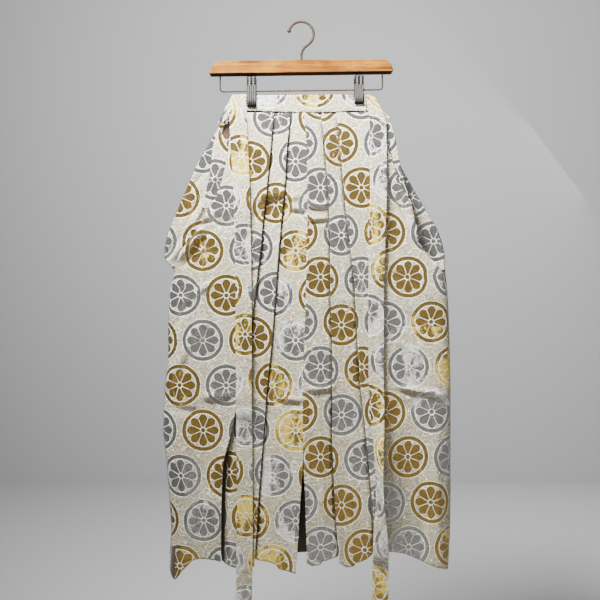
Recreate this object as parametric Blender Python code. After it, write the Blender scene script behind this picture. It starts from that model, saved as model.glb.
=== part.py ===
"""Pleated hakama trousers of brocade, hung by two clips from a wooden trouser hanger.

The frame is in metres: X to the viewer's right, Y back into the wall, Z up. The origin is the
underside of the hook's crown, where the hanger hangs. Every size below is in millimetres, and
most of the trousers' are read at a level: `down`, the distance below the waistband's top edge.
A place across the trousers is `out`, the distance from the hook's axis towards one side.
"""

import math
from collections import namedtuple

import bmesh
import bpy
import numpy as np
from mathutils import Vector

MM = 0.001
SIDES = {"left": -1, "right": 1}

# --- driving sizes, in millimetres -----------------------------------------------------------
WAIST_TOP = 143.6           # the waistband's top edge below the hook's crown
CLOTH = 1.2                 # one thickness of brocade
STEP = 1.6                  # from one layer of a pleat to the next
SEAM = 0.3                  # gap between two sewn pieces
HIDDEN = 0.72               # how much of a pleat's shown width is tucked under the next
SIDE_ROUND = 42.0           # how far in from the side seam the front turns forward
LIP = 1.6                   # the straight edge of cloth at a seam
CROTCH = 478.0              # level of the crotch
CROTCH_RAMP = 34.0          # over this height below it the inside leg seams close
GORE_UP = 8.0               # the gores end this far above the crotch
HEM_START = 791.0           # below this level the rows follow the hem
HEM_LEVEL = 912.0           # the hem's nominal level
CENTRE_GAP = 1.0            # from the middle line to the cloth of each half's centre fold
LAP = 6.0                   # how far one piece laps another at a sewn edge
SIDE_CLOSES = (300.0, 400.0)    # between these levels the side opening closes into the side seam
WAVES_GROW = (250.0, 900.0)     # and between these the upright waves grow to their full depth
BACK_SWELL = 0.4            # how much of the front's waves the back has
SEAM_BACK = 0.65            # how far back from the front cloth to the back's the side seams lie
TUCK_SHORT = 6.0            # how much shorter the hem is where a pleat's cloth is tucked under
BACK_LEAN = 14.0            # how far the back's folds lie to the +X side of the middle
SQUARE_LEAST = 0.66         # least share of a full step that a sharp fold's corner may take

INSEAM_LAYER = 1 + 2 * HIDDEN               # the layer that a centre fold's tucked edge lies on
GORE_GAP = STEP * INSEAM_LAYER + CLOTH + SEAM + 0.2     # from the outer cloth to a gore

# Each level of one half: where the front's and back's side edges and the three front folds lie.
Level = namedtuple("Level", "down front_edge back_edge outer_fold inner_fold centre_fold")
LEVELS = {
    "left": (
        Level(34, 138, 150, 54, 22, -6), Level(80, 141, 175, 59, 26, -10),
        Level(108, 143, 192, 61, 29, -12), Level(138, 148, 209, 64, 31, -12),
        Level(167, 155, 221, 67, 32, -12), Level(201, 166, 237, 69, 35, -13),
        Level(231, 186, 248, 74, 38, -13), Level(262, 200, 262, 77, 41, -13),
        Level(292, 222, 271, 79, 43, -12), Level(320, 246, 274, 82, 46, -11),
        Level(349, 248, 249, 86, 48, -11), Level(385, 259, 259, 90, 51, -10),
        Level(445, 263, 263, 98, 55, -8), Level(514, 263, 263, 110, 61, -6),
        Level(579, 270, 270, 120, 68, -3), Level(662, 273, 273, 137, 74, -4),
        Level(722, 266, 266, 153, 79, -4), Level(791, 261, 261, 156, 84, 1),
        Level(850, 256, 256, 157, 88, 5), Level(912, 260, 260, 157, 92, 11),
    ),
    "right": (
        Level(34, 150, 160, 71, 40, 6), Level(80, 168, 186, 77, 47, 10),
        Level(108, 175, 192, 79, 49, 12), Level(138, 182, 198, 82, 51, 12),
        Level(167, 192, 215, 84, 54, 12), Level(201, 207, 234, 87, 56, 13),
        Level(231, 222, 252, 90, 57, 13), Level(262, 228, 271, 94, 58, 13),
        Level(292, 233, 282, 97, 59, 12), Level(320, 253, 287, 101, 59, 11),
        Level(349, 279, 287, 104, 59, 11), Level(385, 290, 290, 107, 59, 10),
        Level(445, 293, 293, 110, 61, 8), Level(514, 295, 295, 114, 63, 6),
        Level(579, 296, 296, 118, 63, 3), Level(662, 296, 296, 128, 62, 4),
        Level(722, 296, 296, 133, 64, 5), Level(791, 296, 296, 140, 67, 8),
        Level(850, 295, 295, 143, 71, 10), Level(912, 291, 291, 144, 76, 12),
    ),
}

# The hem's level along each shown panel, from the outer panel to the one at the centre.
Hem = namedtuple("Hem", "out down")
FRONT_HEMS = {
    "left": (
        (Hem(157, 913), Hem(200, 911), Hem(212, 914), Hem(232, 934), Hem(246, 953),
         Hem(253, 949), Hem(260, 933)),
        (Hem(92, 924), Hem(101, 931), Hem(127, 935), Hem(148, 928), Hem(157, 924)),
        (Hem(11, 938), Hem(42, 931), Hem(64, 922), Hem(92, 919)),
    ),
    "right": (
        (Hem(144, 900), Hem(170, 894), Hem(200, 900), Hem(236, 915), Hem(267, 928),
         Hem(291, 936)),
        (Hem(76, 918), Hem(88, 928), Hem(113, 925), Hem(129, 918), Hem(144, 904)),
        (Hem(12, 917), Hem(20, 924), Hem(48, 921), Hem(76, 912)),
    ),
}
BACK_HEM = 908.0

# How far the front's and back's outer cloth stands from the hanger's plane (minus is forward).
Depth = namedtuple("Depth", "down front back")
DEPTHS = (
    Depth(34, -2.9, 8.6), Depth(56, -4.2, 9.0), Depth(108, -7.0, 10.0),
    Depth(201, -10.5, 11.0), Depth(320, -13.5, 12.0), Depth(514, -16.5, 13.0),
    Depth(722, -19.5, 13.5), Depth(912, -22.0, 14.0),
)

# The back's two folds on each half: where the outer one and the one at the centre lie.
BackFold = namedtuple("BackFold", "down outer_fold centre_fold")
BACK_FOLDS = (
    BackFold(54, 52, 1.0), BackFold(320, 62, 1.0), BackFold(700, 78, 1.0),
    BackFold(912, 92, 1.5),
)

# Soft upright waves of the cloth: middle, half width, and how far forward it comes at the hem.
Wave = namedtuple("Wave", "x half_width forward")
WAVES = (
    Wave(-238, 26, 3.5), Wave(-190, 24, -3.0), Wave(-152, 26, 3.0), Wave(-60, 24, 2.0),
    Wave(22, 24, 1.5), Wave(104, 26, -2.0), Wave(172, 26, 3.5), Wave(222, 26, -3.0),
    Wave(268, 26, 4.0),
)
# Larger creases from folding and hanging: two ends, half width, and how far forward each comes.
Crease = namedtuple("Crease", "x0 down0 x1 down1 half_width forward")
CREASES = (
    Crease(-188, 452, -262, 566, 15, 5.0), Crease(-206, 490, -262, 600, 12, -4.0),
    Crease(-262, 618, -210, 625, 12, -4.5), Crease(-188, 592, -70, 600, 11, 2.5),
    Crease(196, 580, 295, 594, 12, 4.0), Crease(190, 602, 292, 616, 12, -3.0),
    Crease(-60, 226, 60, 240, 11, -2.0), Crease(-250, 880, -180, 800, 18, 3.0),
)

# Levels at which a panel's wall has a row of points.
FRONT_ROWS = (
    34.4, 80, 108, 138, 167, 201, 231, 262, 292, 320, 349, 385, 445, 474, 514, 579, 603, 662, 722,
    791, 850, 912,
)
BACK_ROWS = (
    54.4, 80, 108, 167, 201, 231, 262, 292, 320, 349, 385, 445, 474, 514, 603, 722, 791, 912,
)

# The waistband and the stiff board at the back of the waist.
WAISTBAND = 3.0             # thickness
WAISTBAND_Y = -2.4          # its middle, in depth
BandSpot = namedtuple("BandSpot", "x top bottom")
BAND_SPOTS = (
    BandSpot(-107.5, 0.0, 31), BandSpot(-80, 0.0, 32), BandSpot(-50, 0.0, 33),
    BandSpot(-20, -0.5, 34), BandSpot(10, -1.0, 34), BandSpot(45, -1.0, 34),
    BandSpot(80, -0.8, 33), BandSpot(107, 0.0, 31), BandSpot(129.5, 0.0, 33.5),
)
BoardRow = namedtuple("BoardRow", "down left right y")
BOARD_ROWS = (
    BoardRow(-2.5, -112, 126, 1.0), BoardRow(24, -124, 136, 1.0),
    BoardRow(33, -134, 146, 6.4), BoardRow(53.8, -148, 158, 8.0),
)
BOARD = 3.0

# The front straps: each row is the strap's two edges, the outer first, and its turn in degrees.
STRAP = 1.8
StrapRow = namedtuple("StrapRow", "down outer inner turn")
STRAP_ROWS = {
    "left": (
        StrapRow(0.0, 136, 108, 0), StrapRow(20, 139, 108, 0), StrapRow(43, 141.5, 107, 0),
        StrapRow(100, 139, 104, 0), StrapRow(160, 134, 101, 0), StrapRow(207, 132, 100, 0),
        StrapRow(306, 129, 97.5, 0), StrapRow(405, 127.5, 96, 0), StrapRow(603, 126.5, 95.5, 0),
        StrapRow(800, 124.5, 93.5, 0), StrapRow(912, 125.5, 94, 0),
        StrapRow(1000, 127.5, 96, 0), StrapRow(1120, 128.5, 97, 0),
    ),
    "right": (
        StrapRow(0.0, 137, 130, 0), StrapRow(4, 143, 131, 0), StrapRow(12, 151, 131, 0),
        StrapRow(27, 158, 132.5, 0), StrapRow(40, 168, 134.5, 0), StrapRow(58, 168.5, 135.5, 0),
        StrapRow(108, 169, 135.5, 0), StrapRow(201, 168, 135, 0), StrapRow(300, 164.5, 132.5, 0),
        StrapRow(385, 162, 131, 0), StrapRow(560, 161, 131.5, 0), StrapRow(630, 162, 134, 25),
        StrapRow(690, 164, 135, 55), StrapRow(740, 166, 135, 70), StrapRow(800, 167, 136, 68),
        StrapRow(850, 168, 138, 35), StrapRow(905, 170, 139, 0), StrapRow(1000, 170, 139, 0),
        StrapRow(1120, 170.5, 139.5, 0),
    ),
}
STRAP_CLEAR = 0.7           # gap between a strap and the panel it hangs over
STRAP_TURN = STRAP + 0.6    # between a strap's two runs where it turns over the band's edge
STRAP_EXTRA_LEVELS = {3.0, 24.0, 34.0, 250.0, 450.0, 510.0, 660.0, 950.0}
PANEL_TOP = 34.0            # level of the panels' upper edge
BACK_TOP = 54.0             # and of the back's
# The strap's end before it turns over: it is sewn to the waistband and sags outwards.
EarRow = namedtuple("EarRow", "down outer inner")
EAR_ROWS = {
    "left": (EarRow(56, 164, 158), EarRow(44, 160, 143), EarRow(34.1, 154.5, 142),
             EarRow(33.5, 154, 108), EarRow(12, 142, 108), EarRow(2.5, 137, 108)),
    "right": (EarRow(46, 178, 171), EarRow(40, 172, 163), EarRow(34.1, 164, 156),
              EarRow(33.5, 163, 130), EarRow(12, 151, 130), EarRow(2.5, 140, 130)),
}
BACK_STRAP_TOP = 40.0
BACK_STRAP_LONG = 850.0
BACK_STRAP_WIDE = 30.0
BACK_STRAP_OUT = {"left": (132, 118), "right": (142, 128)}  # its middle at the top and the end

# The folded slant beside each opening. `inner` is hidden under the panel that it is turned from.
FoldRow = namedtuple("FoldRow", "down outer inner")
FRONT_FOLDS = {
    "left": (FoldRow(76, 165, 153), FoldRow(92, 171, 132), FoldRow(108, 175, 133),
             FoldRow(138, 177, 137), FoldRow(167, 181, 143), FoldRow(201, 190, 153),
             FoldRow(226, 195, 170)),
    "right": (FoldRow(56, 177, 165), FoldRow(68, 182, 153), FoldRow(98, 189, 160),
              FoldRow(134, 195, 168), FoldRow(167, 202, 178), FoldRow(201, 212, 193),
              FoldRow(221, 219, 206)),
}
GUSSET_DROP = 26.0          # how far the gusset's trough hangs below the gores
BACK_FOLD_INS = (2.0, 10.0, 22.0, SIDE_ROUND, 64.0)     # the back's slant, in from its side edge
BACK_FOLD_TOP = 60.0
BACK_FOLD_END = 340.0
FOLD_BEHIND = STEP + 0.1    # from a panel to the turned slant that lies against it

# --- the hanger, in millimetres from the hook's crown ---------------------------------------
HANGER_TILT = 0.75          # degrees; the right end is higher
HOOK_WIRE = 4.8
HOOK_RADIUS = 24.75
BAR_TOP = -76.0
BAR_BOTTOM = -101.5
BAR_DEPTH = 24.0
RAIL_WIRE = 3.0
RAIL_LEVEL = -134.3
RAIL_ENDS = (-161.5, 159.5)
RAIL_CORNER = 7.0

CLIP_WIDE = 18.0
CLIP_PLATE = 1.0
CLIP_X = {"left": -97.5, "right": 114.5}
CLIP_TOP = {"left": -109.0, "right": -107.0}
CLIP_FOOT = {"left": -167.0, "right": -161.5}
PAD = 1.4                   # thickness of a boot's wall that grips the cloth
BOOT_WALL = 1.0             # and of its other wall and floor
BOOT_TALL = 8.5
BOOT_NARROW = 0.4           # how much narrower a boot is than its lever
GRIP_LEAN = (12.0, 9.0)     # how far from the rail's plane a lever's grip stands, top and root
GRIP_TALL = 9.0
ELBOW = (9.0, 3.0, 10.0)    # where a lever bends: above the rail, at the sleeve, and below it
SLEEVE_OUT = 4.0
SLEEVE_IN = 1.95
SLEEVE_LONG = 12.0

COLOURS = {
    "brocade": ((0.80, 0.76, 0.66), 0.55, 0.0), "beech": ((0.66, 0.34, 0.11), 0.35, 0.0),
    "steel": ((0.60, 0.60, 0.60), 0.28, 1.0), "rubber": ((0.02, 0.02, 0.02), 0.7, 0.0),
}


def material(name):
    """The named finish, made once."""
    if name in bpy.data.materials:
        return bpy.data.materials[name]
    colour, rough, metal = COLOURS[name]
    made = bpy.data.materials.new(name)
    made.use_nodes = True
    shader = made.node_tree.nodes["Principled BSDF"]
    shader.inputs["Base Color"].default_value = (*colour, 1)
    shader.inputs["Roughness"].default_value = rough
    shader.inputs["Metallic"].default_value = metal
    return made


def mesh_object(name, points, faces, finish, smooth=True):
    """A mesh object from points in millimetres."""
    mesh = bpy.data.meshes.new(name)
    mesh.from_pydata([(x * MM, y * MM, z * MM) for x, y, z in points], [], faces)
    shape = bmesh.new()
    shape.from_mesh(mesh)
    bmesh.ops.recalc_face_normals(shape, faces=shape.faces)
    shape.to_mesh(mesh)
    shape.free()
    mesh.materials.append(material(finish))
    if smooth:
        mesh.shade_smooth()
        mesh.set_sharp_from_angle(angle=math.radians(40))
    made = bpy.data.objects.new(name, mesh)
    bpy.context.collection.objects.link(made)
    return made


def level(rows, column, down):
    """A table's column at a level, between its rows."""
    return float(np.interp(down, [r.down for r in rows], [getattr(r, column) for r in rows]))


def height(down):
    return -WAIST_TOP - down


def ramp(value, start, end):
    """0 before start, 1 after end, and smooth between."""
    t = min(1.0, max(0.0, (value - start) / (end - start)))
    return t * t * (3 - 2 * t)


def swell(x, down):
    """How far the cloth comes forward at a place, from its waves and creases."""
    grown = ramp(down, *WAVES_GROW)
    forward = sum(w.forward * grown * math.exp(-(((x - w.x) / w.half_width) ** 2))
                  for w in WAVES)
    for c in CREASES:
        along = Vector((c.x1 - c.x0, c.down1 - c.down0))
        at = Vector((x - c.x0, down - c.down0))
        share = min(1.0, max(0.0, at.dot(along) / along.length_squared))
        away = (at - along * share).length
        forward += c.forward * math.exp(-((away / c.half_width) ** 2))
    return forward


def front_y(x, down):
    return level(DEPTHS, "front", down) - swell(x, down)


def back_y(x, down):
    return level(DEPTHS, "back", down) - BACK_SWELL * swell(-x, down)


def seam_y(down):
    """Depth of the side seams, between the front and the back."""
    front, back = level(DEPTHS, "front", down), level(DEPTHS, "back", down)
    return front + SEAM_BACK * (back - front)


# --- walls of cloth ---------------------------------------------------------------------------
def offsets(section):
    """For each point of a level cut, the step from the cloth's middle to its face."""
    steps = []
    for i, here in enumerate(section):
        before, after = section[max(i - 1, 0)], section[min(i + 1, len(section) - 1)]
        into = Vector((here[0] - before[0], here[1] - before[1]))
        away = Vector((after[0] - here[0], after[1] - here[1]))
        into = into if into.length else away
        away = away if away.length else into
        normal = Vector((-(into.normalized() + away.normalized()).y,
                         (into.normalized() + away.normalized()).x)).normalized()
        lean = max(SQUARE_LEAST, normal.dot(Vector((-away.y, away.x)).normalized()))
        steps.append(normal * (CLOTH / 2 / lean))
    return steps


def wall(name, rows, steps_of=offsets, finish="brocade"):
    """A closed wall of cloth whose middle runs through rows of (x, y, z) points."""
    points, wide, tall = [], len(rows[0]), len(rows)
    for face in (1, -1):
        for row in rows:
            for (x, y, z), step in zip(row, steps_of(row)):
                points.append((x + face * step.x, y + face * step.y, z))
    other = wide * tall
    faces = []
    for r in range(tall - 1):
        for c in range(wide - 1):
            a = r * wide + c
            quad = (a, a + 1, a + wide + 1, a + wide)
            faces.append(quad)
            faces.append(tuple(other + i for i in reversed(quad)))
    rim = [c for c in range(wide)]
    rim += [r * wide + wide - 1 for r in range(1, tall)]
    rim += [(tall - 1) * wide + c for c in range(wide - 2, -1, -1)]
    rim += [r * wide for r in range(tall - 2, 0, -1)]
    for a, b in zip(rim, rim[1:] + rim[:1]):
        faces.append((b, a, other + a, other + b))
    return mesh_object(name, points, faces, finish)


def pleated_section(edge, folds, hides, seam_close):
    """One level cut of a pleated half, from its side edge in to its inside leg seam.

    Gives (out, layer, panel, drop) for each point: layer counts steps below the outer cloth,
    and drop is how far the point has turned from the cloth's line towards the side seam.
    """
    first = folds[0] + hides[0]
    near_edge = [0.0, LIP * (1 - seam_close), 3.0, 10.0, 22.0, SIDE_ROUND]
    inner = [edge - q for q in near_edge]
    inner += list(np.linspace(inner[-1], first, 4)[1:])
    path = [(out, 0.0, 0) for out in inner]
    path += [(folds[0] + hides[0] / 2, 0.0, 0), (folds[0], 0.0, 0)]
    for i, (fold, hide) in enumerate(zip(folds, hides)):
        def sunk(out):
            return 0.0 if i == 0 else 2 * (out - fold) / (folds[i - 1] - fold)
        spots = [fold, fold + hide / 2, fold + hide]
        if i:
            path += [(out, sunk(out), i) for out in reversed(spots)]
        path += [(out, sunk(out) + 1, i) for out in spots]
        if i < len(folds) - 1:
            path += [(out, sunk(out) + 2, i) for out in reversed(spots)]
    return path


def side_turn(from_edge):
    """0 at the side seam, 1 where the cloth lies flat."""
    return math.sqrt(max(0.0, 1 - (1 - min(1.0, from_edge / SIDE_ROUND)) ** 2))


def turned_y(y, turn, down, seam_side):
    """Depth y, brought towards the side seam where the side is closed."""
    flat = seam_y(down) + seam_side
    return y + ramp(down, *SIDE_CLOSES) * (flat + (y - flat) * turn - y)


def panel_rows(side, rows, edge_of, folds_of, face_y, hem_of, forward):
    """Rows of points for one half of the front (forward -1) or of the back (forward 1)."""
    s, made = SIDES[side], []
    for down in rows:
        edge, folds = edge_of(down), folds_of(down)
        hides = hidden_widths(side, down, folds)
        close = ramp(down, *SIDE_CLOSES)
        inseam = ramp(down, CROTCH, CROTCH + CROTCH_RAMP)
        section = pleated_section(edge, folds, hides, close)
        row = []
        for n, (out, layer, panel) in enumerate(section):
            x = s * out
            y = face_y(x, down) - forward * STEP * layer
            if panel == 0 and layer == 0:
                turn = 0.0 if n == 0 else side_turn(edge - out)
                y = turned_y(y, turn, down, forward * (SEAM / 2 + (LIP if n == 1 else 0)))
            row.append((x, y, hem_height(down, hem_of(panel, out, layer))))
        x, y, z = row[-1]
        middle = inseam_y(side, down) + forward * SEAM / 2
        row.append((x + s * LIP * (1 - inseam), y + inseam * (middle - y), z))
        made.append(row)
    return made


def hem_height(down, hem):
    """The height of a point: level rows, and below HEM_START rows that follow the hem."""
    if down <= HEM_START:
        return height(down)
    return height(HEM_START + (hem - HEM_START) * (down - HEM_START) / (HEM_LEVEL - HEM_START))


def front_folds(side, down):
    rows = LEVELS[side]
    return [level(rows, "outer_fold", down), level(rows, "inner_fold", down),
            level(rows, "centre_fold", down) + CENTRE_GAP]


def back_folds(side, down):
    lean = SIDES[side] * BACK_LEAN
    return [level(BACK_FOLDS, "outer_fold", down) + lean,
            level(BACK_FOLDS, "centre_fold", down) + lean]


def inseam_out(side, down):
    """Where the inside leg seam lies: the tucked edge of the front's centre fold."""
    outer, inner, centre = front_folds(side, down)
    return centre + HIDDEN * (inner - centre)


def hidden_widths(side, down, folds):
    """How far each fold's cloth is tucked under, the last as far as the inside leg seam."""
    tucked = [HIDDEN * (folds[0] - folds[1])]
    tucked += [HIDDEN * (a - b) for a, b in zip(folds, folds[1:])]
    tucked[-1] = inseam_out(side, down) - folds[-1]
    return tucked


def inseam_y(side, down):
    """Depth at which a leg's front and back meet along the inside leg seam."""
    x = SIDES[side] * inseam_out(side, down)
    front = front_y(x, down) + STEP * INSEAM_LAYER
    back = back_y(x, down) - STEP * INSEAM_LAYER
    return (front + back) / 2


def front_panels():
    for side in SIDES:
        def hem(panel, out, layer, side=side):
            rows = FRONT_HEMS[side][panel]
            tucked = TUCK_SHORT if layer >= 1 else 0.0
            return float(np.interp(out, [h.out for h in rows], [h.down for h in rows])) - tucked
        rows = panel_rows(
            side, FRONT_ROWS, lambda d: level(LEVELS[side], "front_edge", d),
            lambda d: front_folds(side, d), front_y, hem, -1)
        wall("front_panel_" + side, rows)


def back_panels():
    for side in SIDES:
        rows = panel_rows(
            side, BACK_ROWS, lambda d: level(LEVELS[side], "back_edge", d),
            lambda d: back_folds(side, d), back_y, lambda panel, out, layer: BACK_HEM, 1)
        wall("back_panel_" + side, rows)


def side_folds():
    """The turned slants: strips that lie against the panels beside the side openings."""
    for side, s in SIDES.items():
        rows = []
        for r in FRONT_FOLDS[side]:
            xs = s * np.linspace(r.outer, r.inner, 4)
            rows.append([(x, front_y(x, r.down) + FOLD_BEHIND, height(r.down)) for x in xs])
        wall("front_side_fold_" + side, rows)
        rows = []
        for down in [BACK_FOLD_TOP] + [d for d in BACK_ROWS if BACK_FOLD_TOP < d < BACK_FOLD_END] + [
                BACK_FOLD_END]:
            edge = level(LEVELS[side], "back_edge", down)
            row = []
            for q in BACK_FOLD_INS:
                x = s * (edge - q)
                y = turned_y(back_y(x, down), side_turn(q), down, SEAM / 2)
                row.append((x, y - FOLD_BEHIND, height(down)))
            rows.append(row)
        wall("back_side_fold_" + side, rows)


def gores():
    """The centre pieces behind the front's middle pleat and before the back's."""
    for name, face_y, deeper, downs in (("front_gore", front_y, 1, FRONT_ROWS),
                                        ("back_gore", back_y, -1, BACK_ROWS)):
        rows = []
        for down in [d for d in downs if d < CROTCH - 20] + [CROTCH - GORE_UP]:
            left = -inseam_out("left", down) - LAP
            right = inseam_out("right", down) + LAP
            rows.append([(x, face_y(x, down) + deeper * GORE_GAP, height(down))
                         for x in np.linspace(left, right, 6)])
        wall(name, rows)


# --- pieces swept along a line ----------------------------------------------------------------
def ribbon(name, stations, thick, finish="brocade"):
    """A flat band through stations of (middle, direction across, width)."""
    middles = [Vector(m) for m, _, _ in stations]
    points, faces = [], []
    for i, (middle, across, width) in enumerate(stations):
        before, after = middles[max(i - 1, 0)], middles[min(i + 1, len(middles) - 1)]
        across = Vector(across).normalized()
        normal = (after - before).cross(across).normalized()
        for a, b in ((-1, -1), (1, -1), (1, 1), (-1, 1)):
            points.append(tuple(Vector(middle) + across * (a * width / 2)
                                + normal * (b * thick / 2)))
    for i in range(len(stations) - 1):
        for k in range(4):
            a, b = 4 * i + k, 4 * i + (k + 1) % 4
            faces.append((a, b, b + 4, a + 4))
    last = 4 * (len(stations) - 1)
    faces.append((3, 2, 1, 0))
    faces.append((last, last + 1, last + 2, last + 3))
    return mesh_object(name, points, faces, finish)


def strap_stations(side):
    """The front strap: its sewn end behind, the turn over its top edge, and the long hang."""
    s, stations = SIDES[side], []
    for row in EAR_ROWS[side]:
        out = (row.outer + row.inner) / 2
        stations.append(((s * out, WAISTBAND_Y, height(row.down)), (1, 0, 0),
                         row.outer - row.inner))
    top = STRAP_ROWS[side][0]
    middle = s * (top.outer + top.inner) / 2
    stations.append(((middle, WAISTBAND_Y - STRAP_TURN / 2, height(STRAP / 2)), (1, 0, 0),
                     top.outer - top.inner))
    rows = STRAP_ROWS[side]
    downs = sorted({r.down for r in rows[1:]} | STRAP_EXTRA_LEVELS)
    for down in downs:
        outer, inner = level(rows, "outer", down), level(rows, "inner", down)
        angle = math.radians(level(rows, "turn", down))
        x = s * (outer + inner) / 2
        wide = outer - inner
        clear = CLOTH / 2 + STRAP / 2 + STRAP_CLEAR
        y = min(front_y(s * q, max(down, PANEL_TOP)) for q in (outer, (outer + inner) / 2, inner))
        y = min(y, WAISTBAND_Y - STRAP_TURN + clear) - clear - math.sin(angle) * wide / 2
        stations.append(((x, y, height(down)), (math.cos(angle), -math.sin(angle), 0), wide))
    return stations


def straps():
    for side, s in SIDES.items():
        ribbon("front_strap_" + side, strap_stations(side), STRAP)
        stations = []
        top_out, end_out = BACK_STRAP_OUT[side]
        for down in np.linspace(BACK_STRAP_TOP, BACK_STRAP_TOP + BACK_STRAP_LONG, 16):
            share = (down - BACK_STRAP_TOP) / BACK_STRAP_LONG
            x = s * (top_out + (end_out - top_out) * share)
            half = BACK_STRAP_WIDE / 2
            y = max(back_y(q, max(down, BACK_TOP)) for q in (x - half, x, x + half))
            y += CLOTH / 2 + STRAP / 2 + STRAP_CLEAR
            stations.append(((x, y, height(down)), (1, 0, 0), BACK_STRAP_WIDE))
        ribbon("back_strap_" + side, stations, STRAP)


def slab(name, rows, thick, finish="brocade"):
    """A thick piece whose middle runs through rows of (x, y, z) points."""
    return wall(name, rows, lambda row: [Vector((0, thick / 2))] * len(row), finish)


def waistband():
    rows = []
    for share in (0.0, 0.5, 1.0):
        rows.append([(b.x, WAISTBAND_Y, height(b.top + (b.bottom - b.top) * share))
                     for b in BAND_SPOTS])
    slab("front_waistband", rows, WAISTBAND)


def back_board():
    rows = []
    for r in BOARD_ROWS:
        rows.append([(x, r.y, height(r.down)) for x in np.linspace(r.left, r.right, 7)])
    slab("back_board", rows, BOARD)


def gusset():
    """The crotch gusset: a trough of cloth between the two gores' lower edges."""
    left = -inseam_out("left", CROTCH) + LAP / 2
    right = inseam_out("right", CROTCH) - LAP / 2
    stations = []
    front = front_y(0, CROTCH) + GORE_GAP
    back = back_y(0, CROTCH) - GORE_GAP
    middle, half = (front + back) / 2, (back - front) / 2
    top = CROTCH - GORE_UP + SEAM
    width = right - left
    for angle in np.linspace(0, 180, 9):
        a = math.radians(angle)
        stations.append((((left + right) / 2, middle - half * math.cos(a),
                          height(top + GUSSET_DROP * math.sin(a))), (1, 0, 0), width))
    ribbon("crotch_gusset", stations, CLOTH)


# --- the hanger -------------------------------------------------------------------------------
def wire(name, points, diameter, radii=None, sides=2):
    """A round wire through points in millimetres."""
    curve = bpy.data.curves.new(name, "CURVE")
    curve.dimensions = "3D"
    curve.bevel_depth = diameter / 2 * MM
    curve.bevel_resolution = sides
    curve.use_fill_caps = True
    spline = curve.splines.new("POLY")
    spline.points.add(len(points) - 1)
    for n, place in enumerate(points):
        spline.points[n].co = (*(v * MM for v in place), 1)
        spline.points[n].radius = radii[n] if radii else 1.0
    curve.materials.append(material("steel"))
    made = bpy.data.objects.new(name, curve)
    bpy.context.collection.objects.link(made)
    return made


def rounded(corners, reach, steps=5):
    """A polyline with its corners turned into arcs."""
    points = [corners[0]]
    for before, here, after in zip(corners, corners[1:], corners[2:]):
        here = Vector(here)
        a = here + (Vector(before) - here).normalized() * reach
        b = here + (Vector(after) - here).normalized() * reach
        for t in np.linspace(0, 1, steps):
            points.append(tuple(a * (1 - t) ** 2 + here * 2 * t * (1 - t) + b * t * t))
    points.append(corners[-1])
    return points


def hook(hanger):
    centre_z = HOOK_WIRE / 2 - HOOK_RADIUS
    points, radii = [], []
    ball = ((172.0, 0.35), (170.5, 1.15), (167.5, 1.6), (163.5, 1.6), (159.5, 1.1))
    for angle, radius in ball:
        a = math.radians(angle)
        points.append((HOOK_RADIUS * math.cos(a), 0, centre_z + HOOK_RADIUS * math.sin(a)))
        radii.append(radius)
    for angle in np.linspace(152, -52, 20):
        a = math.radians(angle)
        points.append((HOOK_RADIUS * math.cos(a), 0, centre_z + HOOK_RADIUS * math.sin(a)))
        radii.append(1.0)
    neck = rounded([(points[-1][0], 0, points[-1][2]), (0, 0, -54), (0, 0, BAR_TOP + SEAM)], 11)
    points += neck[1:]
    radii += [1.0] * (len(neck) - 1)
    wire("hanger_hook", points, HOOK_WIRE, radii, 2).parent = hanger


def bar(hanger):
    """The wooden bar: a straight batten whose upper corners are cut back and rounded."""
    corners = ((-178, BAR_BOTTOM), (178, BAR_BOTTOM), (181, BAR_BOTTOM + 5), (163, BAR_TOP + 1.5),
               (158, BAR_TOP), (-158, BAR_TOP), (-163, BAR_TOP - 1.0), (-183, BAR_BOTTOM + 5))
    points = [(x, -BAR_DEPTH / 2, z) for x, z in corners]
    points += [(x, BAR_DEPTH / 2, z) for x, z in corners]
    count = len(corners)
    faces = [tuple(range(count)), tuple(range(2 * count - 1, count - 1, -1))]
    for a in range(count):
        b = (a + 1) % count
        faces.append((b, a, a + count, b + count))
    made = mesh_object("hanger_bar", points, faces, "beech")
    bevel = made.modifiers.new("rounded edges", "BEVEL")
    bevel.width = 0.0032
    bevel.segments = 3
    bevel.limit_method = "ANGLE"
    bevel.angle_limit = math.radians(12)
    made.parent = hanger


def rail(hanger):
    left, right = RAIL_ENDS
    top = BAR_BOTTOM - SEAM
    corners = [(left, 0, top), (left, 0, RAIL_LEVEL), (right, 0, RAIL_LEVEL), (right, 0, top)]
    wire("clip_rail", rounded(corners, RAIL_CORNER), RAIL_WIRE).parent = hanger


def lever(name, x, top, foot, rail_z, plate_y, d):
    """A clip's lever, a bent plate, on the side d of the rail."""
    at_rail = d * (SLEEVE_OUT + SEAM + CLIP_PLATE / 2)
    above, beside, below = ELBOW
    path = [(d * GRIP_LEAN[0], top), (d * GRIP_LEAN[1], top - GRIP_TALL),
            (at_rail + d * SEAM * 4, rail_z + above), (at_rail, rail_z + beside),
            (at_rail, rail_z - beside), (plate_y, rail_z - below), (plate_y, foot)]
    ribbon(name, [((x, y, z), (1, 0, 0), CLIP_WIDE) for y, z in path], CLIP_PLATE, "steel")


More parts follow.
